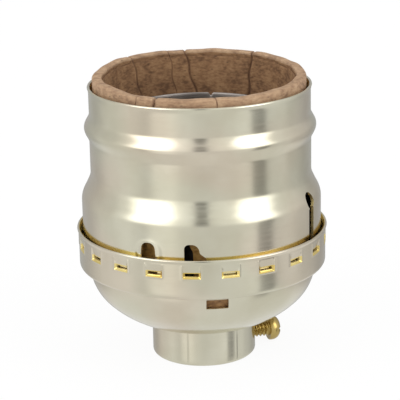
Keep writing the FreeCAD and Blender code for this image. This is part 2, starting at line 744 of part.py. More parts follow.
def make_socket_base():
    """Moulding with a block between the terminals, a ledge, and a collar that holds the
    screw shell. Two feet stand on the fibre cup and leave a gap for the wires."""
    body = new_body("socket_base")
    half = Path(ZERO, block_floor).line(foot_radius, block_floor)
    half.line(foot_radius, foot_low).line(block_radius, foot_low)
    half.line(block_radius, ledge_height).line(ledge_radius - ledge_round, ledge_height)
    half.arc(ledge_radius, ledge_height + ledge_round, ledge_round)
    half.line(ledge_radius, collar_top).line(collar_inner, collar_top)
    half.line(collar_inner, shell_seat).line(well_radius, shell_seat)
    half.line(well_radius, well_floor).line(ZERO, well_floor)
    revolve(body, "moulding", half)
    for name, azimuth in (("hot", 90), ("neutral", -90)):
        flat = rectangle(-block_radius, foot_low - PAST, block_radius, ledge_height)
        cut_path(body, name + "_flat", flat, azimuth, block_flat)
        gap = rectangle(wire_gap * -HALF, foot_low - PAST, wire_gap * HALF, block_floor)
        cut_path(body, name + "_wire_gap", gap, azimuth)
        hole = new_sketch(body, name + "_screw_outline", azimuth, bind_tip - PAST)
        circle(hole, ZERO, bind_height, bind_radius + slip_gap)
        cut(body, name + "_screw_hole", hole, block_radius)
    holes = new_sketch(body, "rivet_holes_outline", None, None, "XY_Plane")
    circle(holes, rivet_circle, ZERO, rivet_shank + rivet_gap)
    circle(holes, -rivet_circle, ZERO, rivet_shank + rivet_gap)
    circle(holes, ZERO, hot_rivet_reach, hot_rivet_shank + rivet_gap)
    cut(body, "rivet_holes", holes, collar_top)


# ---------------------------------------------------------------- contact and terminals

def make_centre_contact():
    """Brass leaf in the well: a foot round its rivet, a rise, a crown under the lamp's
    contact and a free end."""
    body = new_body("centre_contact")
    side = new_sketch(body, "side", 90, leaf_width * -HALF)
    knee = leaf_low + leaf_rise
    shape = Path(leaf_heel, leaf_low)
    crown_bend = (leaf_crown * leaf_crown + leaf_crown_rise * leaf_crown_rise)
    crown_bend = crown_bend / (leaf_crown_rise * 2)
    shape.line(leaf_heel, leaf_low + leaf_thickness)
    shape.line(leaf_bend, leaf_low + leaf_thickness)
    shape.line(leaf_crown, knee + leaf_thickness)
    shape.arc(ZERO, knee + leaf_crown_rise + leaf_thickness, crown_bend)
    shape.arc(-leaf_crown, knee + leaf_thickness, crown_bend)
    shape.line(-leaf_nose, knee - leaf_droop + leaf_thickness)
    shape.line(-leaf_nose, knee - leaf_droop)
    shape.line(-leaf_crown, knee)
    shape.arc(ZERO, knee + leaf_crown_rise, -crown_bend)
    shape.arc(leaf_crown, knee, -crown_bend)
    shape.line(leaf_bend, leaf_low)
    draw(side, shape)
    pad(body, "leaf", side, leaf_width)
    hole = new_sketch(body, "rivet_hole_outline", None, None, "XY_Plane")
    circle(hole, ZERO, hot_rivet_reach, hot_rivet_shank + seat_gap)
    cut(body, "rivet_hole", hole, collar_top)


def make_hot_terminal():
    """Plate on the base's flat with a strap that runs under the block to the rivet."""
    body = new_body("hot_terminal")
    outer = block_flat + plate_thickness
    face = new_sketch(body, "plate_outline", 90, block_flat)
    half = plate_width * HALF
    draw(face, rectangle(-half, strap_low, half, plate_top))
    pad(body, "plate", face, plate_thickness)
    plan = new_sketch(body, "strap_outline", None, strap_low, "XY_Plane")
    half = strap_width * HALF
    strap = Path(outer, -half).line(outer, half).line(strap_elbow, half)
    strap.line(strap_eye, hot_rivet_reach + strap_eye * EYE_SHARE)
    strap.line(-strap_eye, hot_rivet_reach + strap_eye * EYE_SHARE)
    strap.line(-strap_eye, hot_rivet_reach - strap_eye)
    strap.line(strap_eye * HALF, hot_rivet_reach - strap_eye)
    strap.line(strap_elbow - strap_eye, -half)
    draw(plan, strap)
    pad(body, "strap", plan, plate_thickness)
    hole = new_sketch(body, "screw_outline", 90)
    circle(hole, ZERO, bind_height, bind_radius + slip_gap)
    cut(body, "screw_hole", hole, outer + PAST)
    hole = new_sketch(body, "rivet_outline", None, None, "XY_Plane")
    circle(hole, ZERO, hot_rivet_reach, hot_rivet_shank + rivet_gap)
    cut(body, "rivet_hole", hole, block_floor + PAST)


def make_neutral_terminal():
    """Plate on the base's flat with a leg that turns out under the ledge to the rivet."""
    body = new_body("neutral_terminal")
    outer = block_flat + plate_thickness
    face = new_sketch(body, "plate_outline", -90, block_flat)
    half = plate_width * HALF
    draw(face, rectangle(-half, plate_low, half, ledge_height))
    pad(body, "plate", face, plate_thickness)
    face = new_sketch(body, "leg_outline", -90, block_flat)
    half = leg_width * HALF
    draw(face, rectangle(-half, leg_low, half, ledge_height))
    pad(body, "leg", face, leg_reach - block_flat)
    hole = new_sketch(body, "screw_outline", -90)
    circle(hole, ZERO, bind_height, bind_radius + slip_gap)
    cut(body, "screw_hole", hole, outer + PAST)
    hole = new_sketch(body, "rivet_outline", None, None, "XY_Plane")
    circle(hole, -rivet_circle, ZERO, rivet_shank + rivet_gap)
    cut(body, "rivet_hole", hole, ledge_height + PAST)


# ---------------------------------------------------------------- the whole holder

make_cap()
make_cap_liner()
make_neck_insert()
make_screw("set_screw", set_azimuth, set_height, set_radius, set_tip, set_head_seat,
           set_head_radius, set_head_band, set_head_height, set_slot_width, set_slot_depth)
make_outer_shell()
make_shell_liner()
make_socket_base()
make_screw_shell()
make_centre_contact()
make_hot_terminal()
make_neutral_terminal()
for node, azimuth in (("hot_terminal_screw", as_size(90)), ("neutral_terminal_screw", as_size(-90))):
    make_screw(node, azimuth, bind_height, bind_radius, bind_tip, block_flat + plate_thickness,
               bind_head_radius, bind_head_band, bind_head_height, bind_slot_width,
               bind_slot_depth)
make_rivet("hot_rivet", ZERO, hot_rivet_reach, strap_low, hot_rivet_top, hot_rivet_shank,
           hot_rivet_head, hot_rivet_head)
make_rivet("neutral_rivet", -rivet_circle, ZERO, leg_low, floor_top, rivet_shank,
           rivet_head, rivet_head)
make_rivet("shell_rivet", rivet_circle, ZERO, ledge_height, floor_top, rivet_shank,
           rivet_head, rivet_head)
doc.recompute()


# ---------------------------------------------------------------- checks and files

for item in doc.Objects:
    if "Invalid" in item.State or "Error" in item.State:
        raise RuntimeError("%s is %s" % (item.Name, item.State))
for body in bodies:
    if body.Shape.isNull() or not body.Shape.isValid() or len(body.Shape.Solids) != 1:
        raise RuntimeError(body.Label + " is not one valid solid")

os.makedirs("parts", exist_ok=True)
for body in bodies:
    body.Shape.exportStep("parts/" + body.Label + ".step")
    print(body.Label, round(body.Shape.Volume, 3))
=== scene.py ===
import math

import bmesh
import bpy
import numpy as np
from mathutils import Matrix


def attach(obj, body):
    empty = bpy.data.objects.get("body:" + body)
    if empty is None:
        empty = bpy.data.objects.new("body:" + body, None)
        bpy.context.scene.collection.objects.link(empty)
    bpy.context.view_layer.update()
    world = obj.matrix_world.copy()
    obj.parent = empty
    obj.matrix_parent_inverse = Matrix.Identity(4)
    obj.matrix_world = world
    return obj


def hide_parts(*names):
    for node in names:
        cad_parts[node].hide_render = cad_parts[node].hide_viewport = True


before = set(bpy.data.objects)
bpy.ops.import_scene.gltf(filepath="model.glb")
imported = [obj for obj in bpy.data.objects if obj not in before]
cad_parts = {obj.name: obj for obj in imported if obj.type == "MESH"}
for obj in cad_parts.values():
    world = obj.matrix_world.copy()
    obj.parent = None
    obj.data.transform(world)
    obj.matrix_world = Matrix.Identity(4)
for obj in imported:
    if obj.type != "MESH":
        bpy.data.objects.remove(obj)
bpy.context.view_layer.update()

# The visual model of a pull-apart lamp holder: a drawn brass shell that snaps into a lanced
# cap, a fibre tube inside it, a rolled screw shell and a set screw.
#
# Shapes are worked out in millimetres and turned to metres when a mesh is made. An azimuth
# runs from the front, -Y, towards +X.
MM = 0.001
# how near a radius has to be to a wall's to count as on it
NEAR = 0.02

# the shell: heights and outside radii where its outline changes; the last stretch runs on
# past the rim
SHELL_WALL = 0.45
SHELL_FOOT = 16.07
SHELL_TOP = 44.41
SKIRT_RADIUS = 19.0
SHELL_HEIGHTS = np.array([16.07, 18.5, 22.0, 26.25, 30.74, 35.61, 37.85, 40.09, 43.31, 45.51])
SHELL_RADII = np.array([18.3, 18.92, SKIRT_RADIUS, SKIRT_RADIUS, 17.47, 17.47, 18.25, 17.4,
                        17.4, 17.9])
# rows of points up its outside, down its inside and over each edge
SHELL_ROWS_UP = 96
SHELL_ROWS_DOWN = 44
EDGE_ROWS = 4
# the faint crease along its shoulder
CREASE_HEIGHT = 28.3
CREASE_DEPTH = 0.035
CREASE_WIDTH = 0.4
# its openings: a small arch in a round boss, a wide notch and a keyhole; the boss reaches out
# to where its soft edge ends, and fades out at its foot
BOSS_AZIMUTH = math.radians(-25.4)
BOSS_HEIGHT = 22.3
BOSS_REACH = 2.45
BOSS_EDGE = 0.8
BOSS_RISE = 0.12
BOSS_LOW = 20.9
NOTCH_AZIMUTH = math.radians(-5.0)
KEY_AZIMUTH = math.radians(63.2)
# the openings run out through the shell's foot and end at this height
BELOW_FOOT = 15

# the cap: neck, dome and lanced ring
CAP_WALL = 0.42
RING_RADIUS = 19.72
RING_ROUND = 0.6
RIM_HEIGHT = 21.7
RIM_FLARE = 0.22
RIM_TURN = 0.6
STEP_HEIGHT = 15.35
STEP_RADIUS = 18.13
DOME_SIDE = 7.64
DOME_FLOOR = 15.62
NECK_RADIUS = 8.33
LIP_RADIUS = 7.3
LIP_ROUND = 0.5
# its windows: half their width, their lower edge and the fold above them, the lip that turns
# in along their edges, the tongue that leans in from the fold, and the burr along the edges
WINDOW_COUNT = 21
WINDOW_PITCH = 2 * math.pi / WINDOW_COUNT
WINDOW_AZIMUTH = math.radians(-4.98)
WINDOW_HALF = 1.35
WINDOW_LOW = 18.8
WINDOW_HIGH = 20.9
WINDOW_LIP = 0.3
LIP_DIP = 0.26
TONGUE_TIP = 19.6
TONGUE_DIP = 0.24
BURR_RISE = 0.06
BURR_PLACE = 0.06
BURR_WIDTH = 0.13
# two scores down the neck, above which the dome begins, and the dome's hole
NECK_SCORES = np.radians([-18.3, 38.3])
SCORE_DEPTH = 0.06
SCORE_WIDTH = 0.09
DOME_FOOT = 5.0
DOME_HOLE_AZIMUTH = math.radians(6.75)

# the liner: its rim rises at the back and waves, and its wall waves too; each wave is its
# height, its number round the tube, its phase and how much that grows for each millimetre up
LINER_OUTER = 16.65
LINER_INNER = 15.15
LINER_LOW = 17.1
LINER_TOP = 45.8
LINER_ROUND = 0.28
LINER_RISE = 0.15
LINER_LIFT = 0.55
RIM_WAVES = [(0.07, 5, 1, 0), (0.05, 11, 0, 0), (0.03, 23, 2, 0)]
WALL_WAVES = [(0.08, 7, 0, 1 / 9), (0.04, 17, 2, 0)]
# how far down the rim's waves reach, and the groove this far under it
RIM_REACH = 2.5
RIM_LINE = 0.75
GROOVE_DEPTH = 0.05
GROOVE_WIDTH = 0.14
# the tube's outside is painted yellower below this height, as golden light reflected from the
# brass, just above the shell's openings
PAINTED_GOLD_LIGHT_TOP = 30.07

# a crack is its azimuth at the rim, its lean in radians for each millimetre up, its depth and
# its width; it wanders along a sine of the height, lies in a wider hollow and nicks the rim,
# each by a share of its depth
CRACKS = [(math.radians(-35.1), 0.004, 0.1, 0.12), (math.radians(-24.5), 0.003, 0.4, 0.34),
          (math.radians(8.0), -0.003, 0.12, 0.14), (math.radians(145.9), -0.006, 0.3, 0.3),
          (math.radians(-171.9), 0.016, 0.28, 0.3), (math.radians(-161.5), 0.01, 0.08, 0.14),
          (math.radians(-135.6), 0.016, 0.2, 0.24)]
CRACK_SHADE = "#7A5C44"
CRACK_WANDER = 0.012
CRACK_WAVE = 1.3
CRACK_SINK = 0.5
CRACK_NICK = 0.7
HOLLOW_SINK = 0.3
HOLLOW_WIDTH = 0.45

# the screw shell: its thread rolls in and fades out over these heights, and a plain collar
# above it turns out and rises
THREAD_ROOT = 12.8
THREAD_CREST = 13.7
THREAD_PITCH = 3.629
THREAD_LOW = 24.6
THREAD_RIM = 39.4
THREAD_WALL = 0.35
THREAD_START = 1.6
THREAD_STOP = 1.3
THREAD_COLLAR = 0.5
COLLAR_REACH = 1.5
COLLAR_FLARE = 0.25
COLLAR_RISE = 0.5
NICK_AZIMUTH = math.radians(171.6)
NICK_WIDTH = 0.018
SCREW_SHELL_FLOOR = 20.6
SCREW_SHELL_CORNER = 0.5
SCREW_SHELL_HOLE = 7.8

# the set screw and its hole in the neck: tip, thread, the seat under its head and the head's
# dome, at distances from the lamp axis
SET_AZIMUTH = math.radians(106.0)
SET_HEIGHT = 2.1
SET_HOLE = 1.31
SET_TIP = 6.35
SET_CHAMFER = 0.35
SET_CREST = 1.3
SET_PITCH = 0.62
SET_DEPTH = 0.3
SET_SEAT = 10.95
SET_HEAD = 2.05
SET_ROUND = 0.2
SET_DOME = 1.4
SET_DOME_BASE = 0.55
SET_SLOT_HALF = 0.3


# ---------------------------------------- materials

def linear(hex_colour):
    """sRGB hex to linear RGBA: up to 0.04045 a channel is divided by 12.92, and above it
    0.055 is added, the sum is divided by 1.055 and raised to the power 2.4."""
    code = np.array([int(hex_colour[i:i + 2], 16) for i in (1, 3, 5)]) / 255
    low, high = code / 12.92, ((code + 0.055) / 1.055) ** 2.4
    return (*np.where(code <= 0.04045, low, high).tolist(), 1.0)


def add_node(tree, kind, settings=None, links=None, stops=None):
    """Adds a node, sets its properties and socket values, joins its sockets and fills its ramp."""
    node = tree.nodes.new(kind)
    for key, value in (settings or {}).items():
        if isinstance(key, str) and hasattr(node, key):
            setattr(node, key, value)
        else:
            node.inputs[key].default_value = value
    for key, source in (links or {}).items():
        tree.links.new(source, node.inputs[key])
    if stops:
        ramp = node.color_ramp.elements
        while len(ramp) < len(stops):
            ramp.new(1.0)
        for element, (place, colour) in zip(ramp, stops):
            element.position = place
            element.color = colour
    return node


def new_finish(name, settings):
    """A material with one Principled shader that has the settings, and object coordinates."""
    finish = bpy.data.materials.new(name)
    finish.use_nodes = True
    tree = finish.node_tree
    shader = tree.nodes["Principled BSDF"]
    for key, value in settings.items():
        shader.inputs[key].default_value = value
    place = add_node(tree, "ShaderNodeTexCoord").outputs["Object"]
    return finish, tree, shader, place


def sheet_metal(name, colour, dull, rough, relief, casts=None):
    """Drawn sheet metal: a colour that dulls in soft patches, fine polishing lines that run
    round the axis, and a faint waviness about 6 mm long that bends the reflections. The two
    casts, if any, are film colours that drift over the sheet in areas 14 mm wide."""
    finish, tree, shader, place = new_finish(name, {"Metallic": 1.0, "Roughness": rough})
    patches = add_node(tree, "ShaderNodeTexNoise", {"Scale": 1 / (9 * MM), "Detail": 4.0},
                       {"Vector": place})
    tone = add_node(tree, "ShaderNodeValToRGB", None, {"Fac": patches.outputs["Fac"]},
                    [(0.38, linear(dull)), (0.62, linear(colour))])
    skin = tone.outputs["Color"]
    if casts:
        drift = add_node(tree, "ShaderNodeTexNoise", {"Scale": 1 / (14 * MM), "Detail": 1.0},
                         {"Vector": place})
        film = add_node(tree, "ShaderNodeValToRGB", None, {"Fac": drift.outputs["Fac"]},
                        [(0.42, linear(casts[0])), (0.58, linear(casts[1]))])
        skin = add_node(tree, "ShaderNodeVectorMath", {"operation": "MULTIPLY"},
                        {0: skin, 1: film.outputs["Color"]}).outputs["Vector"]
    tree.links.new(skin, shader.inputs["Base Color"])
    # polishing lines 0.3 mm apart up the piece and long round it, coarser than the real ones
    stretch = add_node(tree, "ShaderNodeMapping", {"Scale": (0.12, 0.12, 3.0)}, {"Vector": place})
    lines = add_node(tree, "ShaderNodeTexNoise", {"Scale": 1 / (1.0 * MM), "Detail": 2.0},
                     {"Vector": stretch.outputs["Vector"]})
    band = add_node(tree, "ShaderNodeMapRange", {"From Min": 0.3, "From Max": 0.7,
                                                 "To Min": rough * 0.8, "To Max": rough * 1.3},
                    {"Value": lines.outputs["Fac"]})
    tree.links.new(band.outputs["Result"], shader.inputs["Roughness"])
    waves = add_node(tree, "ShaderNodeTexNoise", {"Scale": 1 / (6 * MM), "Detail": 1.0},
                     {"Vector": place})
    slow = add_node(tree, "ShaderNodeBump", {"Strength": relief, "Distance": 0.05 * MM},
                    {"Height": waves.outputs["Fac"]})
    fine = add_node(tree, "ShaderNodeBump", {"Strength": relief, "Distance": 0.002 * MM},
                    {"Height": lines.outputs["Fac"], "Normal": slow.outputs["Normal"]})
    tree.links.new(fine.outputs["Normal"], shader.inputs["Normal"])
    return finish


def turn_of(tree, direction):
    """Parts of a vector and its azimuth: the arctangent of x over minus y."""
    way = add_node(tree, "ShaderNodeSeparateXYZ", None, {0: direction})
    front = add_node(tree, "ShaderNodeMath", {"operation": "MULTIPLY", 1: -1.0},
                     {0: way.outputs["Y"]})
    turn = add_node(tree, "ShaderNodeMath", {"operation": "ARCTAN2"},
                    {0: way.outputs["X"], 1: front.outputs[0]})
    return way, turn.outputs[0]


def crack_share(tree, turn, height, crack):
    """Is 1 along the middle of a crack and 0 beyond its width. The middle's azimuth runs in
    proportion to the height, plus a sine of the height."""
    azimuth, lean, _, width = crack
    bend = add_node(tree, "ShaderNodeMath",
                    {"operation": "MULTIPLY_ADD", 1: CRACK_WAVE, 2: azimuth}, {0: height})
    bend = add_node(tree, "ShaderNodeMath", {"operation": "SINE"}, {0: bend.outputs[0]})
    middle = add_node(tree, "ShaderNodeMath",
                      {"operation": "MULTIPLY_ADD", 1: lean, 2: azimuth - lean * LINER_TOP},
                      {0: height})
    middle = add_node(tree, "ShaderNodeMath", {"operation": "MULTIPLY_ADD", 1: CRACK_WANDER},
                      {0: bend.outputs[0], 2: middle.outputs[0]})
    gap = add_node(tree, "ShaderNodeMath", {"operation": "SUBTRACT"},
                   {0: turn, 1: middle.outputs[0]})
    gap = add_node(tree, "ShaderNodeMath", {"operation": "ABSOLUTE"}, {0: gap.outputs[0]})
    return add_node(tree, "ShaderNodeMapRange",
                    {"From Max": width / LINER_INNER, "To Min": 1.0, "To Max": 0.0},
                    {"Value": gap.outputs[0]}).outputs["Result"]


def add_cracks(tree, place, grain):
    """Share of darkness in the liner's cracks and along the broken line under its inner rim,
    0.16 mm wide each way, which the grain interrupts."""
    way, turn = turn_of(tree, place)
    height = add_node(tree, "ShaderNodeMath", {"operation": "MULTIPLY", 1: 1 / MM},
                      {0: way.outputs["Z"]}).outputs[0]
    lift = add_node(tree, "ShaderNodeMath", {"operation": "COSINE"}, {0: turn})
    lift = add_node(tree, "ShaderNodeMath",
                    {"operation": "MULTIPLY_ADD", 1: LINER_LIFT, 2: RIM_LINE - LINER_TOP},
                    {0: lift.outputs[0]})
    above = add_node(tree, "ShaderNodeMath", {"operation": "ADD"},
                     {0: height, 1: lift.outputs[0]})
    above = add_node(tree, "ShaderNodeMath", {"operation": "ABSOLUTE"}, {0: above.outputs[0]})
    rim = add_node(tree, "ShaderNodeMapRange", {"From Max": 0.16, "To Min": 1.0, "To Max": 0.0},
                   {"Value": above.outputs[0]})
    # the grain breaks the line, and it lies on the bore alone
    broken = add_node(tree, "ShaderNodeMapRange", {"From Min": 0.47, "From Max": 0.58},
                      {"Value": grain})
    flat = add_node(tree, "ShaderNodeMapping", {"Scale": (1, 1, 0)}, {"Vector": place})
    reach = add_node(tree, "ShaderNodeVectorMath", {"operation": "LENGTH"},
                     {0: flat.outputs["Vector"]})
    inner = add_node(tree, "ShaderNodeMath",
                     {"operation": "LESS_THAN", 1: (LINER_INNER + 0.6) * MM},
                     {0: reach.outputs["Value"]})
    share = add_node(tree, "ShaderNodeMath", {"operation": "MULTIPLY"},
                     {0: rim.outputs["Result"], 1: broken.outputs["Result"]})
    share = add_node(tree, "ShaderNodeMath", {"operation": "MULTIPLY"},
                     {0: share.outputs[0], 1: inner.outputs[0]})
    for crack in CRACKS:
        share = add_node(tree, "ShaderNodeMath", {"operation": "MAXIMUM"},
                         {0: share.outputs[0], 1: crack_share(tree, turn, height, crack)})
    return share.outputs[0]


def pressed_fibre(name, pale, middle, dark, cracked=False):
    """Vulcanised fibre, a grey-brown board pressed from cotton rag: matt, finely mottled, with
    dark specks and a soft uneven skin; the liner's own sheet also has cracks."""
    finish, tree, shader, place = new_finish(name, {"Roughness": 0.8, "IOR": 1.5})
    clouds = add_node(tree, "ShaderNodeTexNoise", {"Scale": 1 / (2.2 * MM), "Detail": 5.0},
                      {"Vector": place})
    # strands 0.35 mm apart up the tube and twice as long round it
    stretch = add_node(tree, "ShaderNodeMapping", {"Scale": (0.6, 0.6, 1.2)}, {"Vector": place})
    strands = add_node(tree, "ShaderNodeTexNoise", {"Scale": 1 / (0.42 * MM), "Detail": 3.0},
                       {"Vector": stretch.outputs["Vector"]})
    both = add_node(tree, "ShaderNodeMath", {"operation": "ADD"},
                    {0: clouds.outputs["Fac"], 1: strands.outputs["Fac"]})
    tone = add_node(tree, "ShaderNodeValToRGB", None,
                    {"Fac": add_node(tree, "ShaderNodeMath", {"operation": "MULTIPLY", 1: 0.5},
                                     {0: both.outputs["Value"]}).outputs["Value"]},
                    [(0.36, linear(dark)), (0.48, linear(middle)), (0.62, linear(pale))])
    # dark specks up to 0.5 mm wide, long round the tube
    specks = add_node(tree, "ShaderNodeTexVoronoi", {"Scale": 1 / (1.1 * MM)},
                      {"Vector": add_node(tree, "ShaderNodeMapping", {"Scale": (0.6, 0.6, 1.3)},
                                          {"Vector": place}).outputs["Vector"]})
    spot = add_node(tree, "ShaderNodeMapRange",
                    {"From Min": 0.05, "From Max": 0.17, "To Min": 0.45, "To Max": 1.0},
                    {"Value": specks.outputs["Distance"]})
    specked = add_node(tree, "ShaderNodeVectorMath", {"operation": "MULTIPLY"},
                       {0: tone.outputs["Color"], 1: spot.outputs["Result"]})
    if cracked:
        uneven = add_node(tree, "ShaderNodeMapRange",
                          {"From Min": 0.35, "From Max": 0.6, "To Min": 0.45, "To Max": 1.0},
                          {"Value": strands.outputs["Fac"]})
        share = add_node(tree, "ShaderNodeMath", {"operation": "MULTIPLY"},
                         {0: add_cracks(tree, place, clouds.outputs["Fac"]),
                          1: uneven.outputs["Result"]})
        tint = add_node(tree, "ShaderNodeValToRGB", None, {"Fac": share.outputs[0]},
                        [(0.0, (1, 1, 1, 1)), (1.0, linear(CRACK_SHADE))])
        specked = add_node(tree, "ShaderNodeVectorMath", {"operation": "MULTIPLY"},
                           {0: specked.outputs["Vector"], 1: tint.outputs["Color"]})
    tree.links.new(specked.outputs["Vector"], shader.inputs["Base Color"])
    bump = add_node(tree, "ShaderNodeBump", {"Strength": 0.5, "Distance": 0.08 * MM},
                    {"Height": both.outputs["Value"]})
    tree.links.new(bump.outputs["Normal"], shader.inputs["Normal"])
    return finish


def moulding(name, colour):
    """Phenolic moulding, compression moulded: near black, semi-gloss, with a faint orange-peel
    skin 0.8 mm across."""
    finish, tree, shader, place = new_finish(
        name, {"Base Color": linear(colour), "Roughness": 0.3, "IOR": 1.6})
    skin = add_node(tree, "ShaderNodeTexNoise", {"Scale": 1 / (0.8 * MM), "Detail": 2.0},
                    {"Vector": place})
    rub = add_node(tree, "ShaderNodeMapRange", {"To Min": 0.22, "To Max": 0.42},
                   {"Value": skin.outputs["Fac"]})
    tree.links.new(rub.outputs["Result"], shader.inputs["Roughness"])
    bump = add_node(tree, "ShaderNodeBump", {"Strength": 0.3, "Distance": 0.02 * MM},
                    {"Height": skin.outputs["Fac"]})
    tree.links.new(bump.outputs["Normal"], shader.inputs["Normal"])
    return finish


# Pale drawn brass under a thin nickel wash: soft champagne grey with faint rose and green
# films, and it mirrors the room.
plated_brass = sheet_metal("plated_brass", "#DAD4C3", "#D1CAB7", 0.17, 0.35,
                           casts=("#FFFBF8", "#FCFFFB"))
# Sheared and unplated brass: the yellow of the sheet itself, a little rough.
raw_brass = sheet_metal("raw_brass", "#F4E095", "#DDC06C", 0.26, 0.3)
# The sheet's sheared edges: torn and rough, so they take light from all round.
sheared_brass = sheet_metal("sheared_brass", "#F6E9BC", "#E2D096", 0.5, 0.3)
# Rolled aluminium of the screw shell: cool grey with blurred reflections.
rolled_aluminium = sheet_metal("rolled_aluminium", "#A29C97", "#86807B", 0.35, 0.5)
# Brass turned from rod: yellow with a bright cut surface.
turned_brass = sheet_metal("turned_brass", "#BFA868", "#957F47", 0.2, 0.3)
# Spring brass of the contact leaf and the terminals, slightly tarnished.
spring_brass = sheet_metal("spring_brass", "#D8B96C", "#B3924B", 0.3, 0.4)
# Nickel-plated steel of the terminal screws: cool white metal.
nickel_steel = sheet_metal("nickel_steel", "#CFCBC4", "#B2AEA6", 0.25, 0.3)
# Rivet heads, upset cold: dull pale metal.
rivet_metal = sheet_metal("rivet_metal", "#C4BDAE", "#A49C8C", 0.33, 0.5)
# The tube's own board: a warm grey-brown, matt, with dark cracks at the rim.
liner_fibre = pressed_fibre("liner_fibre", "#B99A7A", "#A68668", "#8E7056", cracked=True)
# The tube's bore: a browner board, darkened further with painted shade of the tube's inside.
browner_and_shaded_fibre = pressed_fibre("browner_and_shaded_fibre", "#A17C57", "#886545", "#674930", cracked=True)
# The cup in the cap, pressed from a darker board.
cup_fibre = pressed_fibre("cup_fibre", "#8F6D47", "#775633", "#56381E")
# The outside of the tube's foot, painted yellower as golden light reflected from the brass: it
# shows through the openings.
painted_gold_light_fibre = pressed_fibre("painted_gold_light_fibre", "#D2AB68", "#BF9654", "#94703C")
# The block that carries the contacts: near black with a soft gloss.
phenolic = moulding("phenolic", "#1D1A17")


# ---------------------------------------- making meshes

def line(start, end, count):
    """Points spaced evenly from start up to, but not onto, end."""
    share = np.arange(count)[:, None] / count
    return np.array(start) * (1 - share) + np.array(end) * share


def arc(centre, radius, start, end, count):
    """Points on a circle about centre, across by the cosine and up by the sine of the angle,
    from one angle up to, but not onto, another, in degrees."""
    angle = np.radians(start + (end - start) * np.arange(count) / count)
    return np.array(centre) + radius * np.stack([np.cos(angle), np.sin(angle)], axis=1)


def rounded(corners, count=10):
    """Closed outline through corners (x, y, radius), each corner replaced by an arc that
    touches both of its sides. A point of the arc is the sum of its two end radii, each weighted
    by the sine of the angle still to go to the other and divided by the sine of the whole."""
    runs = []
    for index, (x, y, radius) in enumerate(corners):
        here = np.array([x, y])
        before = np.array(corners[index - 1][:2]) - here
        after = np.array(corners[(index + 1) % len(corners)][:2]) - here
        if radius == 0:
            runs.append(here[None, :])
            continue
        before, after = before / np.linalg.norm(before), after / np.linalg.norm(after)
        half = math.acos(float(np.clip(before @ after, -1, 1))) / 2
        middle = (before + after) / np.linalg.norm(before + after)
        centre = here + middle * radius / math.sin(half)
        first = here + before * radius / math.tan(half) - centre
        last = here + after * radius / math.tan(half) - centre
        share = np.linspace(0, 1, count)[:, None]
        swing = math.pi - 2 * half
        points = (np.sin((1 - share) * swing) * first + np.sin(share * swing) * last)
        runs.append(centre + points / math.sin(swing))
    return np.concatenate(runs)


def all_round(count):
    """Azimuths spaced evenly round the axis."""
    return np.linspace(0, 2 * np.pi, count, endpoint=False)


def spun(profile, azimuths, press=None):
    """Turns a closed profile round the lamp axis. The point (r, z) at azimuth a goes to
    (r sin a, -r cos a, z), after press has changed r and z for that azimuth."""
    radius, height = profile[:, :1], profile[:, 1:2]
    turn = azimuths[None, :]
    radius, height = radius + 0 * turn, height + 0 * turn
    if press:
        radius, height = press(turn, radius, height)
    return np.stack([radius * np.sin(turn), -radius * np.cos(turn), height], axis=-1)


def grid_faces(rows, columns):
    """Quads of a grid that closes on itself both ways."""
    row, column = np.arange(rows)[:, None], np.arange(columns)[None, :]
    next_row, next_column = (row + 1) % rows, (column + 1) % columns
    quads = [row * columns + column, row * columns + next_column,
             next_row * columns + next_column, next_row * columns + column]
    return np.stack(quads, axis=-1).reshape(-1, 4)


def new_piece(name, points, faces, finishes, finish_of_face=None):
    """A mesh object with its finishes and doubled points at its poles merged."""
    mesh = bpy.data.meshes.new(name)
    mesh.from_pydata((points.reshape(-1, 3) * MM).tolist(), [], faces.tolist())
    for finish in finishes:
        mesh.materials.append(finish)
    if finish_of_face is not None:
        mesh.polygons.foreach_set("material_index", finish_of_face.astype(np.int32))
    shape = bmesh.new()
    shape.from_mesh(mesh)
    bmesh.ops.remove_doubles(shape, verts=shape.verts, dist=1e-7)
    shape.to_mesh(mesh)
    shape.free()
    piece = bpy.data.objects.new(name, mesh)
    bpy.context.scene.collection.objects.link(piece)
    return piece


def grid_piece(name, points, finishes, row_finish=None):
    """A piece from a grid of points, with one finish number for each row."""
    rows, columns = points.shape[:2]
    of_face = None if row_finish is None else np.repeat(row_finish, columns)
    return new_piece(name, points, grid_faces(rows, columns), finishes, of_face)


def shade(piece, angle=32):
    """Smooth shading, broken where faces meet at more than the angle."""
    piece.data.polygons.foreach_set("use_smooth", np.ones(len(piece.data.polygons), bool))
    piece.data.set_sharp_from_angle(angle=math.radians(angle))


def punch(outline, azimuth, near, far):
    """Prism with an outline (across, up) that runs out along an azimuth from a radius near
    the axis to one far from it, clear of both faces of the wall it cuts."""
    out = np.array([math.sin(azimuth), -math.cos(azimuth), 0])
    across = np.array([math.cos(azimuth), math.sin(azimuth), 0])
    flat = outline[:, :1] * across + outline[:, 1:2] * np.array([0, 0, 1])
    return np.stack([flat + near * out, flat + far * out])


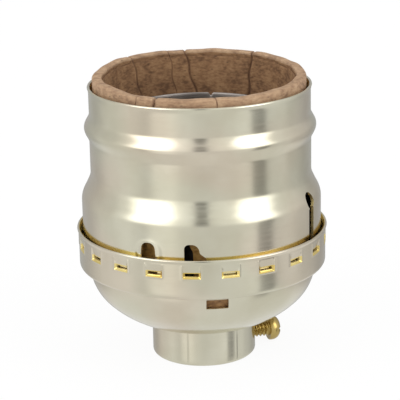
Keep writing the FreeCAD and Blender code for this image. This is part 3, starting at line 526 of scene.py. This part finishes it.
def cut_out(piece, prisms, finish):
    """Takes prisms away from the piece; the new walls get the finish."""
    points, faces, start = [], [], 0
    for prism in prisms:
        count = prism.shape[1]
        ring = np.arange(count)
        step = (ring + 1) % count
        sides = np.stack([ring, step, step + count, ring + count], axis=1) + start
        faces += sides.tolist() + [(ring[::-1] + start).tolist(), (ring + count + start).tolist()]
        points.append(prism.reshape(-1, 3) * MM)
        start += 2 * count
    mesh = bpy.data.meshes.new("punches")
    mesh.from_pydata(np.concatenate(points).tolist(), [], faces)
    mesh.materials.append(finish)
    shape = bmesh.new()
    shape.from_mesh(mesh)
    bmesh.ops.recalc_face_normals(shape, faces=shape.faces)
    shape.to_mesh(mesh)
    shape.free()
    tool = bpy.data.objects.new("punches", mesh)
    bpy.context.scene.collection.objects.link(tool)
    change = piece.modifiers.new("cut", "BOOLEAN")
    change.operation = "DIFFERENCE"
    change.object = tool
    change.material_mode = "TRANSFER"
    graph = bpy.context.evaluated_depsgraph_get()
    result = bpy.data.meshes.new_from_object(piece.evaluated_get(graph))
    piece.modifiers.clear()
    piece.data = result
    bpy.data.objects.remove(tool)


def fit(piece, body, node):
    """Rides the piece on its body and lets it stand for a CAD node."""
    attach(piece, body)
    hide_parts(node)


def ease(share):
    """Runs from 0 to 1 along half a cosine."""
    return (1 - np.cos(np.pi * np.clip(share, 0, 1))) / 2


def bell(distance, width):
    """Gaussian bump of height 1: e to the minus square of the distance over the width."""
    return np.exp(-(distance / width) ** 2)


def turn_from(turn, azimuth):
    """Azimuth measured from another one, between minus and plus half a turn."""
    return (turn - azimuth + np.pi) % (2 * np.pi) - np.pi


# ---------------------------------------- outer shell

def shell_radius(height):
    """Outside of the shell at a height: each stretch between two named heights runs from one
    radius to the next along half a cosine, with a faint crease along the shoulder."""
    index = np.clip(np.searchsorted(SHELL_HEIGHTS, height) - 1, 0, len(SHELL_HEIGHTS) - 2)
    low, high = SHELL_HEIGHTS[index], SHELL_HEIGHTS[index + 1]
    start, end = SHELL_RADII[index], SHELL_RADII[index + 1]
    crease = CREASE_DEPTH * bell(height - CREASE_HEIGHT, CREASE_WIDTH)
    return start + (end - start) * ease((height - low) / (high - low)) - crease


def shell_profile():
    """Outside from foot to rim, half circle over the rim, inside back down, half circle."""
    half = SHELL_WALL / 2
    top, low = SHELL_TOP - half, SHELL_FOOT + half
    up = np.linspace(low, top, SHELL_ROWS_UP)
    down = np.linspace(top, low, SHELL_ROWS_DOWN)
    outside = np.stack([shell_radius(up), up], axis=1)
    inside = np.stack([shell_radius(down) - SHELL_WALL, down], axis=1)
    rim = arc((shell_radius(top) - half, top), half, 36, 180, EDGE_ROWS)
    foot = arc((shell_radius(low) - half, low), half, 216, 360, EDGE_ROWS)
    return np.concatenate([outside, rim, inside, foot])


def press_boss(turn, radius, height):
    """A round boss about the small arch, raised by a flat step with a soft edge: half a cosine
    of the distance from its middle, which also fades out at its foot."""
    across = turn_from(turn, BOSS_AZIMUTH) * SKIRT_RADIUS
    distance = np.hypot(across, height - BOSS_HEIGHT)
    foot = ease(2 * (height - BOSS_LOW) / BOSS_EDGE)
    return radius + BOSS_RISE * ease((BOSS_REACH - distance) / BOSS_EDGE) * foot, height


# columns crowd round the arch and the notch
shell_turns = np.radians(np.concatenate([np.linspace(-60, 20, 420, endpoint=False),
                                         np.linspace(20, 300, 260, endpoint=False)]))
arch_outline = rounded([(-1.6, BELOW_FOOT, 0), (-1.25, 21.9, 0.5), (-1.05, 23.9, 0.98),
                        (1.05, 23.9, 0.98), (1.25, 21.9, 0.5), (1.6, BELOW_FOOT, 0)])
notch_outline = rounded([(-1.12, BELOW_FOOT, 0), (-1.12, 23.95, 0.75), (1.0, 23.95, 1.15),
                        (1.25, 22.55, 0.5), (2.25, 21.75, 0.4), (2.6, BELOW_FOOT, 0)])


def keyhole(head, top, left, right):
    """Circle of radius head with its top at a height, over a slot that runs out through the
    foot, its sides left and right of the middle."""
    angle = np.radians(np.linspace(-60, 240, 40))
    circle = np.stack([head * np.cos(angle), top - head + head * np.sin(angle)], axis=1)
    return np.concatenate([circle, [(-left, top - 2 * head), (-left, BELOW_FOOT),
                                    (right, BELOW_FOOT), (right, top - 2 * head)]])


# plated outside, over the rim and under the foot, bare inside
outer_shell = grid_piece(
    "outer_shell_sheet", spun(shell_profile(), shell_turns, press_boss),
    [plated_brass, raw_brass],
    np.repeat([0, 1, 0], [SHELL_ROWS_UP + EDGE_ROWS, SHELL_ROWS_DOWN - 1, EDGE_ROWS + 1]))
shell_key = keyhole(head=1.25, top=28.6, left=0.85, right=0.85)
cut_out(outer_shell, [punch(arch_outline, BOSS_AZIMUTH, near=17, far=21),
                      punch(notch_outline, NOTCH_AZIMUTH, near=17, far=21),
                      punch(shell_key, KEY_AZIMUTH, near=17, far=21)], sheared_brass)
shade(outer_shell)
fit(outer_shell, "shell", "outer_shell")


# ---------------------------------------- cap

def cap_profile():
    """Outside: lip, neck, dome as two arcs that touch, step, ring and turned rim. Inside: the
    same outline one sheet thickness in, back to the lip. Also how many rows are outside."""
    side = (STEP_RADIUS - DOME_SIDE, STEP_HEIGHT)
    drop = DOME_FLOOR - DOME_SIDE
    floor = (side[0] - drop * math.cos(math.pi / 4), side[1] + drop * math.sin(math.pi / 4))

    def neck_angle(inset):
        return -math.degrees(math.acos((NECK_RADIUS - inset - floor[0]) / (DOME_FLOOR - inset)))

    def neck_top(inset):
        return floor[1] + (DOME_FLOOR - inset) * math.sin(math.radians(neck_angle(inset)))

    flare = RIM_HEIGHT - RIM_TURN
    wall = CAP_WALL
    # rows crowd from just below the windows up to the rim
    crowd_out, crowd_in = WINDOW_LOW - 0.4, WINDOW_LOW - 0.2
    ring_corner = (RING_RADIUS - RING_ROUND, STEP_HEIGHT + RING_ROUND)
    outside = [
        line((LIP_RADIUS, 0), (NECK_RADIUS - LIP_ROUND, 0), 2),
        arc((NECK_RADIUS - LIP_ROUND, LIP_ROUND), LIP_ROUND, -90, 0, 5),
        line((NECK_RADIUS, LIP_ROUND), (NECK_RADIUS, neck_top(0)), 6),
        arc(floor, DOME_FLOOR, neck_angle(0), -45, 8),
        arc(side, DOME_SIDE, -45, 0, 9),
        line((STEP_RADIUS, STEP_HEIGHT), (ring_corner[0], STEP_HEIGHT), 2),
        arc(ring_corner, RING_ROUND, -90, 0, 5),
        line((RING_RADIUS, ring_corner[1]), (RING_RADIUS, crowd_out), 4),
        line((RING_RADIUS, crowd_out), (RING_RADIUS, flare), 28),
        line((RING_RADIUS, flare), (RING_RADIUS + RIM_FLARE, RIM_HEIGHT - wall / 2), 3),
    ]
    edge = (RING_RADIUS + RIM_FLARE - wall / 2, RIM_HEIGHT - wall / 2)
    inside = [
        arc(edge, wall / 2, 0, 180, 5),
        line((edge[0] - wall / 2, edge[1]), (RING_RADIUS - wall, flare), 2),
        line((RING_RADIUS - wall, flare), (RING_RADIUS - wall, crowd_in), 12),
        line((RING_RADIUS - wall, crowd_in), (RING_RADIUS - wall, STEP_HEIGHT + wall), 2),
        line((RING_RADIUS - wall, STEP_HEIGHT + wall), (STEP_RADIUS - wall, STEP_HEIGHT + wall), 1),
        line((STEP_RADIUS - wall, STEP_HEIGHT + wall), (STEP_RADIUS - wall, STEP_HEIGHT), 1),
        arc(side, DOME_SIDE - wall, 0, -45, 6),
        arc(floor, DOME_FLOOR - wall, -45, neck_angle(wall), 6),
        line((NECK_RADIUS - wall, neck_top(wall)), (NECK_RADIUS - wall, wall), 3),
        line((NECK_RADIUS - wall, wall), (LIP_RADIUS, wall), 1),
        line((LIP_RADIUS, wall), (LIP_RADIUS, 0), 1),
    ]
    count = sum(len(run) for run in outside)
    return np.concatenate(outside + inside), count


def from_window(turn):
    """Distance round the ring from the middle of the nearest window."""
    away = (turn - WINDOW_AZIMUTH + WINDOW_PITCH / 2) % WINDOW_PITCH - WINDOW_PITCH / 2
    return np.abs(away) * RING_RADIUS


def press_cap(turn, radius, height):
    """Under each window's fold the ring's wall leans in, in proportion, down to the tongue's
    tip; the sheared sides and lower edge turn in as a narrow lip, and a small burr, a Gaussian
    of the distance from them, stands along them. Two fine scores run down the neck."""
    across = from_window(turn)
    lean = np.clip((WINDOW_HIGH - height) / (WINDOW_HIGH - TONGUE_TIP), 0, 1)
    turned = np.clip((height - WINDOW_LOW) / WINDOW_LIP, 0, 1)
    sunk = np.where(height < TONGUE_TIP, LIP_DIP * turned, TONGUE_DIP * lean)
    inside = np.clip((WINDOW_HALF - across) / WINDOW_LIP, 0, 1)
    below = np.maximum(WINDOW_LOW - height, 0)
    edge = np.hypot(below, np.maximum(across - WINDOW_HALF, 0))
    burr = BURR_RISE * bell(edge - BURR_PLACE, BURR_WIDTH)
    burr = burr * ((inside == 0) | (below > 0)) * (height < WINDOW_HIGH)
    on_ring = radius > RING_RADIUS - CAP_WALL - NEAR
    scores = sum(bell(turn_from(turn, score) * NECK_RADIUS, SCORE_WIDTH)
                 for score in NECK_SCORES)
    on_neck = (np.abs(radius - NECK_RADIUS) < NEAR) * (height < DOME_FOOT)
    return radius + on_ring * (burr - sunk * inside) - SCORE_DEPTH * scores * on_neck, height


# columns crowd along the sides of each window
near_window = np.concatenate([np.linspace(-8.5, -4.6, 4, endpoint=False),
                              np.linspace(-4.6, -2.8, 12, endpoint=False),
                              np.linspace(-2.8, 2.8, 8, endpoint=False),
                              np.linspace(2.8, 4.6, 12, endpoint=False),
                              np.linspace(4.6, 8.5, 4, endpoint=False)])
cap_turns = (np.radians(near_window)[None, :] + WINDOW_AZIMUTH
             + WINDOW_PITCH * np.arange(WINDOW_COUNT)[:, None]).ravel()
cap_line, outside_rows = cap_profile()
# plated outside and on to the crown of the rim, bare inside and on the windows' lips
crown_rows = 3
bare = np.ones((len(cap_line), len(cap_turns)), int)
bare[:outside_rows + crown_rows] = 0
in_window = from_window(cap_turns) < WINDOW_HALF
# from the row at the lower edge to the row at the tongue's tip
lip_rows = (cap_line[:, 1] > WINDOW_LOW - 0.03) & (cap_line[:, 1] < TONGUE_TIP + 0.1)
bare[lip_rows[:, None] & in_window[None, :]] = 1
cap = new_piece("cap_sheet", spun(cap_line, cap_turns, press_cap),
                grid_faces(*bare.shape), [plated_brass, raw_brass], bare.ravel())
gap_half, gap_low = WINDOW_HALF - WINDOW_LIP, WINDOW_LOW + WINDOW_LIP
window_outline = np.array([(-gap_half, gap_low), (gap_half, gap_low), (gap_half, TONGUE_TIP),
                           (-gap_half, TONGUE_TIP)])
windows = [punch(window_outline, WINDOW_AZIMUTH + WINDOW_PITCH * step, near=18.6, far=20.4)
           for step in range(WINDOW_COUNT)]
dome_hole = rounded([(-1.7, 13.3, 0.12), (1.7, 13.3, 0.12), (1.7, 14.85, 0.12),
                     (-1.7, 14.85, 0.12)], 4)
set_hole = arc((0, SET_HEIGHT), SET_HOLE, 0, 360, 32)
cut_out(cap, windows + [punch(dome_hole, DOME_HOLE_AZIMUTH, near=14.5, far=19.5),
                        punch(set_hole, SET_AZIMUTH, near=7.0, far=9.5)], sheared_brass)
shade(cap)
fit(cap, "holder", "cap")


# ---------------------------------------- liner

def crush_liner(turn, radius, height):
    """The fibre tube: its rim stands higher at the back by a cosine of the azimuth and waves
    by three sines, its wall waves by two. Cracks run down the wall as Gaussians of the distance
    from their middle and nick the rim, and a fine groove runs round under the inner rim."""
    share = np.clip((height - LINER_LOW) / (LINER_TOP - LINER_LOW), 0, 1)
    rim, ripple = (sum(rise * np.sin(count * turn + phase + climb * height)
                       for rise, count, phase, climb in waves)
                   for waves in (RIM_WAVES, WALL_WAVES))
    rim = rim + LINER_RISE - LINER_LIFT * np.cos(turn)
    cut, hollow = 0, 0
    for azimuth, lean, depth, width in CRACKS:
        middle = (azimuth + lean * (height - LINER_TOP)
                  + CRACK_WANDER * np.sin(CRACK_WAVE * height + azimuth))
        away = turn_from(turn, middle) * LINER_INNER
        cut = cut + depth * bell(away, width / 2)
        hollow = hollow + depth * bell(away, HOLLOW_WIDTH)
    top = ease((height - LINER_TOP + RIM_REACH) / RIM_REACH)
    inner = radius < (LINER_OUTER + LINER_INNER) / 2
    groove = GROOVE_DEPTH * bell(height - LINER_TOP + RIM_LINE, GROOVE_WIDTH) * inner
    sunk = np.where(inner, -1, 1) * (CRACK_SINK * cut + HOLLOW_SINK * hollow)
    return radius + ripple * share + groove - sunk, height + (rim - CRACK_NICK * cut) * top


def liner_profile():
    """A plain tube wall with a rounded top edge; rows crowd towards the rim."""
    turned, outer_crowd = LINER_TOP - LINER_ROUND, LINER_TOP - 3
    inner_crowd, inner_coarse = LINER_TOP - 2, LINER_TOP - 9
    outer_edge, inner_edge = LINER_OUTER - LINER_ROUND, LINER_INNER + LINER_ROUND
    return np.concatenate([
        line((LINER_INNER, LINER_LOW), (LINER_OUTER, LINER_LOW), 3),
        line((LINER_OUTER, LINER_LOW), (LINER_OUTER, outer_crowd), 14),
        line((LINER_OUTER, outer_crowd), (LINER_OUTER, turned), 8),
        arc((outer_edge, turned), LINER_ROUND, 0, 90, 4),
        line((outer_edge, LINER_TOP), (inner_edge, LINER_TOP), 6),
        arc((inner_edge, turned), LINER_ROUND, 90, 180, 4),
        line((LINER_INNER, turned), (LINER_INNER, inner_crowd), 18),
        line((LINER_INNER, inner_crowd), (LINER_INNER, inner_coarse), 14),
        line((LINER_INNER, inner_coarse), (LINER_INNER, LINER_LOW), 14),
    ])


liner_line = liner_profile()
# browner on the bore below the rim's rounded edge and darkened there with painted shade; painted
# yellower outside behind the openings, as golden reflected light
bore_rows = ((liner_line[:, 0] < LINER_INNER + NEAR)
             & (liner_line[:, 1] < LINER_TOP - LINER_ROUND - NEAR))
foot_rows = (liner_line[:, 0] > LINER_INNER + 0.5) & (liner_line[:, 1] < PAINTED_GOLD_LIGHT_TOP)
liner = grid_piece("liner_tube", spun(liner_line, all_round(1080), crush_liner),
                   [liner_fibre, browner_and_shaded_fibre, painted_gold_light_fibre],
                   np.select([bore_rows, foot_rows], [1, 2], 0))
# the tube's cut behind the notch is narrower than the notch and lies to its left
liner_notch = notch_outline * [0.45, 1] + [-1.0, 0.3]
liner_key = keyhole(head=1.6, top=29.2, left=1.6, right=0.35)
cut_out(liner, [punch(liner_notch, NOTCH_AZIMUTH, near=14, far=18),
                punch(liner_key, KEY_AZIMUTH, near=14, far=18)], liner_fibre)
shade(liner, 50)
fit(liner, "shell", "shell_liner")


# ---------------------------------------- screw shell

def press_thread(turn, radius, height):
    """Rolls a helical lamp thread into the wall: the radius swings between root and crest
    along a cosine whose phase climbs one pitch a turn and fades at both ends. The collar above
    it turns out and rises, and a small notch is nicked out of its rim at the back."""
    phase = (height - THREAD_LOW) / THREAD_PITCH - turn / (2 * np.pi)
    roll = (THREAD_CREST - THREAD_ROOT) * (0.5 - 0.5 * np.cos(2 * np.pi * phase))
    fade = (ease((height - THREAD_LOW) / THREAD_START)
            * ease((THREAD_RIM - THREAD_COLLAR - height) / THREAD_STOP))
    on_wall = radius > THREAD_ROOT - SCREW_SHELL_CORNER
    end = ease((height - THREAD_RIM + COLLAR_REACH) / COLLAR_REACH)
    nick = bell(turn_from(turn, NICK_AZIMUTH), NICK_WIDTH)
    return (radius + on_wall * (roll * fade + COLLAR_FLARE * end),
            height + COLLAR_RISE * (1 - nick) * end)


def screw_shell_profile():
    """Cup with a hole in its floor: outside up, over the rim, inside down, floor."""
    wall, floor, corner = THREAD_WALL, SCREW_SHELL_FLOOR, SCREW_SHELL_CORNER
    rim = (THREAD_ROOT - wall / 2, THREAD_RIM - wall / 2)
    return np.concatenate([
        line((SCREW_SHELL_HOLE, floor), (THREAD_ROOT - corner, floor), 3),
        arc((THREAD_ROOT - corner, floor + corner), corner, -90, 0, 4),
        line((THREAD_ROOT, floor + corner), (THREAD_ROOT, rim[1]), 96),
        arc(rim, wall / 2, 0, 180, 5),
        line((THREAD_ROOT - wall, rim[1]), (THREAD_ROOT - wall, floor + corner), 96),
        arc((THREAD_ROOT - corner, floor + corner), corner - wall, 0, -90, 2),
        line((THREAD_ROOT - corner, floor + wall), (SCREW_SHELL_HOLE, floor + wall), 3),
    ])


screw_shell = grid_piece("screw_shell_rolled",
                         spun(screw_shell_profile(), all_round(400), press_thread),
                         [rolled_aluminium])
shade(screw_shell)
fit(screw_shell, "holder", "screw_shell")


# ---------------------------------------- set screw

def laid(points, azimuth, height):
    """Turns a shape spun about Z so that Z points out along an azimuth at a height."""
    out = np.array([math.sin(azimuth), -math.cos(azimuth), 0])
    across = np.array([math.cos(azimuth), math.sin(azimuth), 0])
    up = np.cross(out, across)
    return points @ np.stack([across, up, out]) + np.array([0, 0, height])


def cut_thread(crest, pitch, depth, low, high):
    """Cuts a helical V thread between two heights: the radius falls from the crest by the
    distance from the nearest helix line."""
    def press(turn, radius, height):
        phase = (height / pitch - turn / (2 * np.pi)) % 1
        groove = depth * np.abs(2 * phase - 1)
        fade = np.clip((height - low) / pitch, 0, 1) * np.clip((high - height) / pitch, 0, 1)
        on_shank = np.abs(radius - crest) < NEAR
        return radius - on_shank * groove * fade, height
    return press


set_dome = (SET_HEAD - SET_DOME, SET_SEAT + SET_DOME_BASE)
set_top = SET_SEAT + SET_DOME_BASE + SET_DOME
set_profile = np.concatenate([
    line((0, SET_TIP), (SET_CREST - SET_CHAMFER, SET_TIP), 3),
    line((SET_CREST - SET_CHAMFER, SET_TIP), (SET_CREST, SET_TIP + SET_CHAMFER), 1),
    line((SET_CREST, SET_TIP + SET_CHAMFER), (SET_CREST, SET_SEAT), 84),
    line((SET_CREST, SET_SEAT), (SET_HEAD - SET_ROUND, SET_SEAT), 2),
    arc((SET_HEAD - SET_ROUND, SET_SEAT + SET_ROUND), SET_ROUND, -90, 0, 5),
    arc(set_dome, SET_DOME, 0, 90, 16),
    line((set_dome[0], set_top), (0, set_top), 4),
    np.array([(0.0, set_top)]),
])
set_press = cut_thread(SET_CREST, SET_PITCH, SET_DEPTH, SET_TIP + SET_DEPTH, SET_SEAT)
set_points = spun(set_profile, all_round(96), set_press)
set_screw = grid_piece("set_screw_turned", laid(set_points, SET_AZIMUTH, SET_HEIGHT),
                       [turned_brass])
# the slot runs right across the domed head
slot_low, slot_high = SET_HEIGHT - SET_SLOT_HALF, SET_HEIGHT + SET_SLOT_HALF
slot = np.array([(-3, slot_low), (3, slot_low), (3, slot_high), (-3, slot_high)])
cut_out(set_screw, [punch(slot, SET_AZIMUTH, near=SET_SEAT + 1.4, far=SET_SEAT + 3)],
        turned_brass)
shade(set_screw)
fit(set_screw, "set_screw", "set_screw")


# ---------------------------------------- CAD nodes that stay

for node_name, finish in {
    "cap_liner": cup_fibre, "neck_insert": turned_brass, "socket_base": phenolic,
    "centre_contact": spring_brass, "hot_terminal": spring_brass,
    "neutral_terminal": nickel_steel, "hot_terminal_screw": turned_brass,
    "neutral_terminal_screw": nickel_steel, "hot_rivet": rivet_metal,
    "neutral_rivet": rivet_metal, "shell_rivet": rivet_metal,
}.items():
    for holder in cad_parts[node_name].material_slots:
        holder.material = finish


# ---------------------------------------- camera

camera = bpy.data.objects.new("camera", bpy.data.cameras.new("camera"))
bpy.context.scene.collection.objects.link(camera)
# a long lens in front of the object, placed in metres, that looks 16.7 degrees down and is
# rolled by 1.1 degrees
camera.data.sensor_width = 36
camera.data.lens = 147.0
camera.data.clip_start = 0.01
camera.data.clip_end = 10
camera.matrix_world = (Matrix.Translation((-0.000238, -0.249703, 0.100147))
                       @ Matrix.Rotation(math.radians(90 - 16.698), 4, "X")
                       @ Matrix.Rotation(math.radians(-1.101), 4, "Z"))
bpy.context.scene.camera = camera


# ---------------------------------------- studio

def paper(name, colour):
    """Seamless white paper: matt, and lit so that it reads as white in a picture while the
    object's shadow stays on it."""
    finish, tree, shader, place = new_finish(
        name, {"Base Color": linear(colour), "Roughness": 0.9})
    grain = add_node(tree, "ShaderNodeTexNoise", {"Scale": 1 / (1.0 * MM)}, {"Vector": place})
    bump = add_node(tree, "ShaderNodeBump", {"Strength": 0.1, "Distance": 0.02 * MM},
                    {"Height": grain.outputs["Fac"]})
    tree.links.new(bump.outputs["Normal"], shader.inputs["Normal"])
    path = add_node(tree, "ShaderNodeLightPath")
    seen = add_node(tree, "ShaderNodeMath", {"operation": "MAXIMUM"},
                    {0: path.outputs["Is Camera Ray"], 1: path.outputs["Is Glossy Ray"]})
    seen = add_node(tree, "ShaderNodeMath", {"operation": "MAXIMUM"},
                    {0: seen.outputs[0], 1: path.outputs["Is Transmission Ray"]})
    # a small share stays lit paper, which keeps the shadow
    share = add_node(tree, "ShaderNodeMath", {"operation": "MULTIPLY", 1: 0.92},
                     {0: seen.outputs[0]})
    white = add_node(tree, "ShaderNodeEmission", {"Color": (1, 1, 1, 1), "Strength": 1.0})
    both = add_node(tree, "ShaderNodeMixShader", None,
                    {0: share.outputs[0], 1: shader.outputs[0], 2: white.outputs[0]})
    tree.links.new(both.outputs[0], tree.nodes["Material Output"].inputs["Surface"])
    return finish


floor_mesh = bpy.data.meshes.new("floor")
floor_mesh.from_pydata([(-2, -2, 0), (2, -2, 0), (2, 2, 0), (-2, 2, 0)], [], [(0, 1, 2, 3)])
floor_mesh.materials.append(paper("white_paper", "#FFFFFF"))
floor = bpy.data.objects.new("floor", floor_mesh)
bpy.context.scene.collection.objects.link(floor)

# the metal mirrors the room's light rather than the bare floor
floor.visible_glossy = False

world = bpy.data.worlds.new("studio")
bpy.context.scene.world = world
world.use_nodes = True
tree = world.node_tree
path = add_node(tree, "ShaderNodeLightPath")
way, turn = turn_of(tree, add_node(tree, "ShaderNodeTexCoord").outputs["Generated"])
azimuth = add_node(tree, "ShaderNodeMapRange",
                   {"From Min": -math.pi, "From Max": math.pi}, {"Value": turn})


def room_light(levels, top):
    """The room's brightness from its levels at azimuths in degrees, eased in between; the
    ramp holds them as shares of the top level."""
    stops = [(0.5 + place / 360, (level / top,) * 3 + (1,)) for place, level in levels]
    ramp = add_node(tree, "ShaderNodeValToRGB", None, {"Fac": azimuth.outputs[0]}, stops)
    ramp.color_ramp.interpolation = "EASE"
    scaled = add_node(tree, "ShaderNodeMath", {"operation": "MULTIPLY", 1: top},
                      {0: ramp.outputs["Color"]})
    return scaled.outputs[0]


# low down: white paper round the front, a soft grey gap at each side, greyer behind
low = room_light([(-180, 0.45), (-139, 0.53), (-105, 0.79), (-75, 0.88), (-57, 0.76),
                  (-45, 1.05), (-30, 1.08), (-17, 0.87), (0, 0.78), (30, 0.84), (52, 0.94),
                  (56, 0.42), (67, 0.34), (74, 0.76), (92, 0.78), (110, 0.64), (140, 0.47),
                  (180, 0.45)], top=1.1)
# higher: two big soft boxes with a narrow dark gap between them where the camera stands
high = room_light([(-180, 0.5), (-140, 0.6), (-100, 0.75), (-84, 0.95), (-60, 2.6),
                   (-44, 2.6), (-20, 1.1), (-8, 0.95), (-5, 0.3), (5, 0.3), (8, 0.95), (30, 1.05),
                   (50, 2.6), (62, 2.6), (84, 0.9), (140, 0.6), (180, 0.5)], top=2.6)
# steeply down, an even grey; from just under level upwards the low ring passes into the high
# one, and that into an even ceiling
below = add_node(tree, "ShaderNodeMapRange",
                 {"interpolation_type": "SMOOTHSTEP", "From Min": -0.36, "From Max": -0.62},
                 {"Value": way.outputs["Z"]})
low = add_node(tree, "ShaderNodeMix", {"data_type": "FLOAT", "B": 0.84},
               {"Factor": below.outputs["Result"], "A": low})
lift = add_node(tree, "ShaderNodeMapRange",
                {"interpolation_type": "SMOOTHSTEP", "From Min": -0.08, "From Max": 0.25},
                {"Value": way.outputs["Z"]})
room = add_node(tree, "ShaderNodeMix", {"data_type": "FLOAT"},
                {"Factor": lift.outputs["Result"], "A": low.outputs["Result"], "B": high})
overhead = add_node(tree, "ShaderNodeMapRange",
                    {"interpolation_type": "SMOOTHSTEP", "From Min": 0.62, "From Max": 0.85},
                    {"Value": way.outputs["Z"]})
room = add_node(tree, "ShaderNodeMix", {"data_type": "FLOAT", "B": 0.95},
                {"Factor": overhead.outputs["Result"], "A": room.outputs["Result"]})
# the camera sees plain white behind the object, also through anything clear
plain = add_node(tree, "ShaderNodeMath", {"operation": "MAXIMUM"},
                 {0: path.outputs["Is Camera Ray"], 1: path.outputs["Is Transmission Ray"]})
level = add_node(tree, "ShaderNodeMix", {"data_type": "FLOAT", "B": 1.0},
                 {"Factor": plain.outputs[0], "A": room.outputs["Result"]})
tree.links.new(level.outputs["Result"], tree.nodes["Background"].inputs["Strength"])
tree.nodes["Background"].inputs["Color"].default_value = (1, 1, 1, 1)


def soft_box(name, azimuth, elevation, reach, size, power):
    """Square lamp that faces the middle of the lamp holder from an azimuth and elevation."""
    turn, lift = math.radians(azimuth), math.radians(elevation)
    middle_height = 0.03
    lamp = bpy.data.objects.new(name, bpy.data.lights.new(name, "AREA"))
    lamp.data.size = size
    lamp.data.energy = power
    bpy.context.scene.collection.objects.link(lamp)
    lamp.matrix_world = (Matrix.Translation((reach * math.cos(lift) * math.sin(turn),
                                             -reach * math.cos(lift) * math.cos(turn),
                                             middle_height + reach * math.sin(lift)))
                         @ Matrix.Rotation(turn, 4, "Z")
                         @ Matrix.Rotation(math.radians(90) - lift, 4, "X"))


soft_box("left_box", azimuth=-50, elevation=38, reach=0.5, size=0.3, power=0.12)
soft_box("right_box", azimuth=56, elevation=38, reach=0.5, size=0.26, power=0.1)

bpy.context.scene.view_settings.view_transform = "Standard"
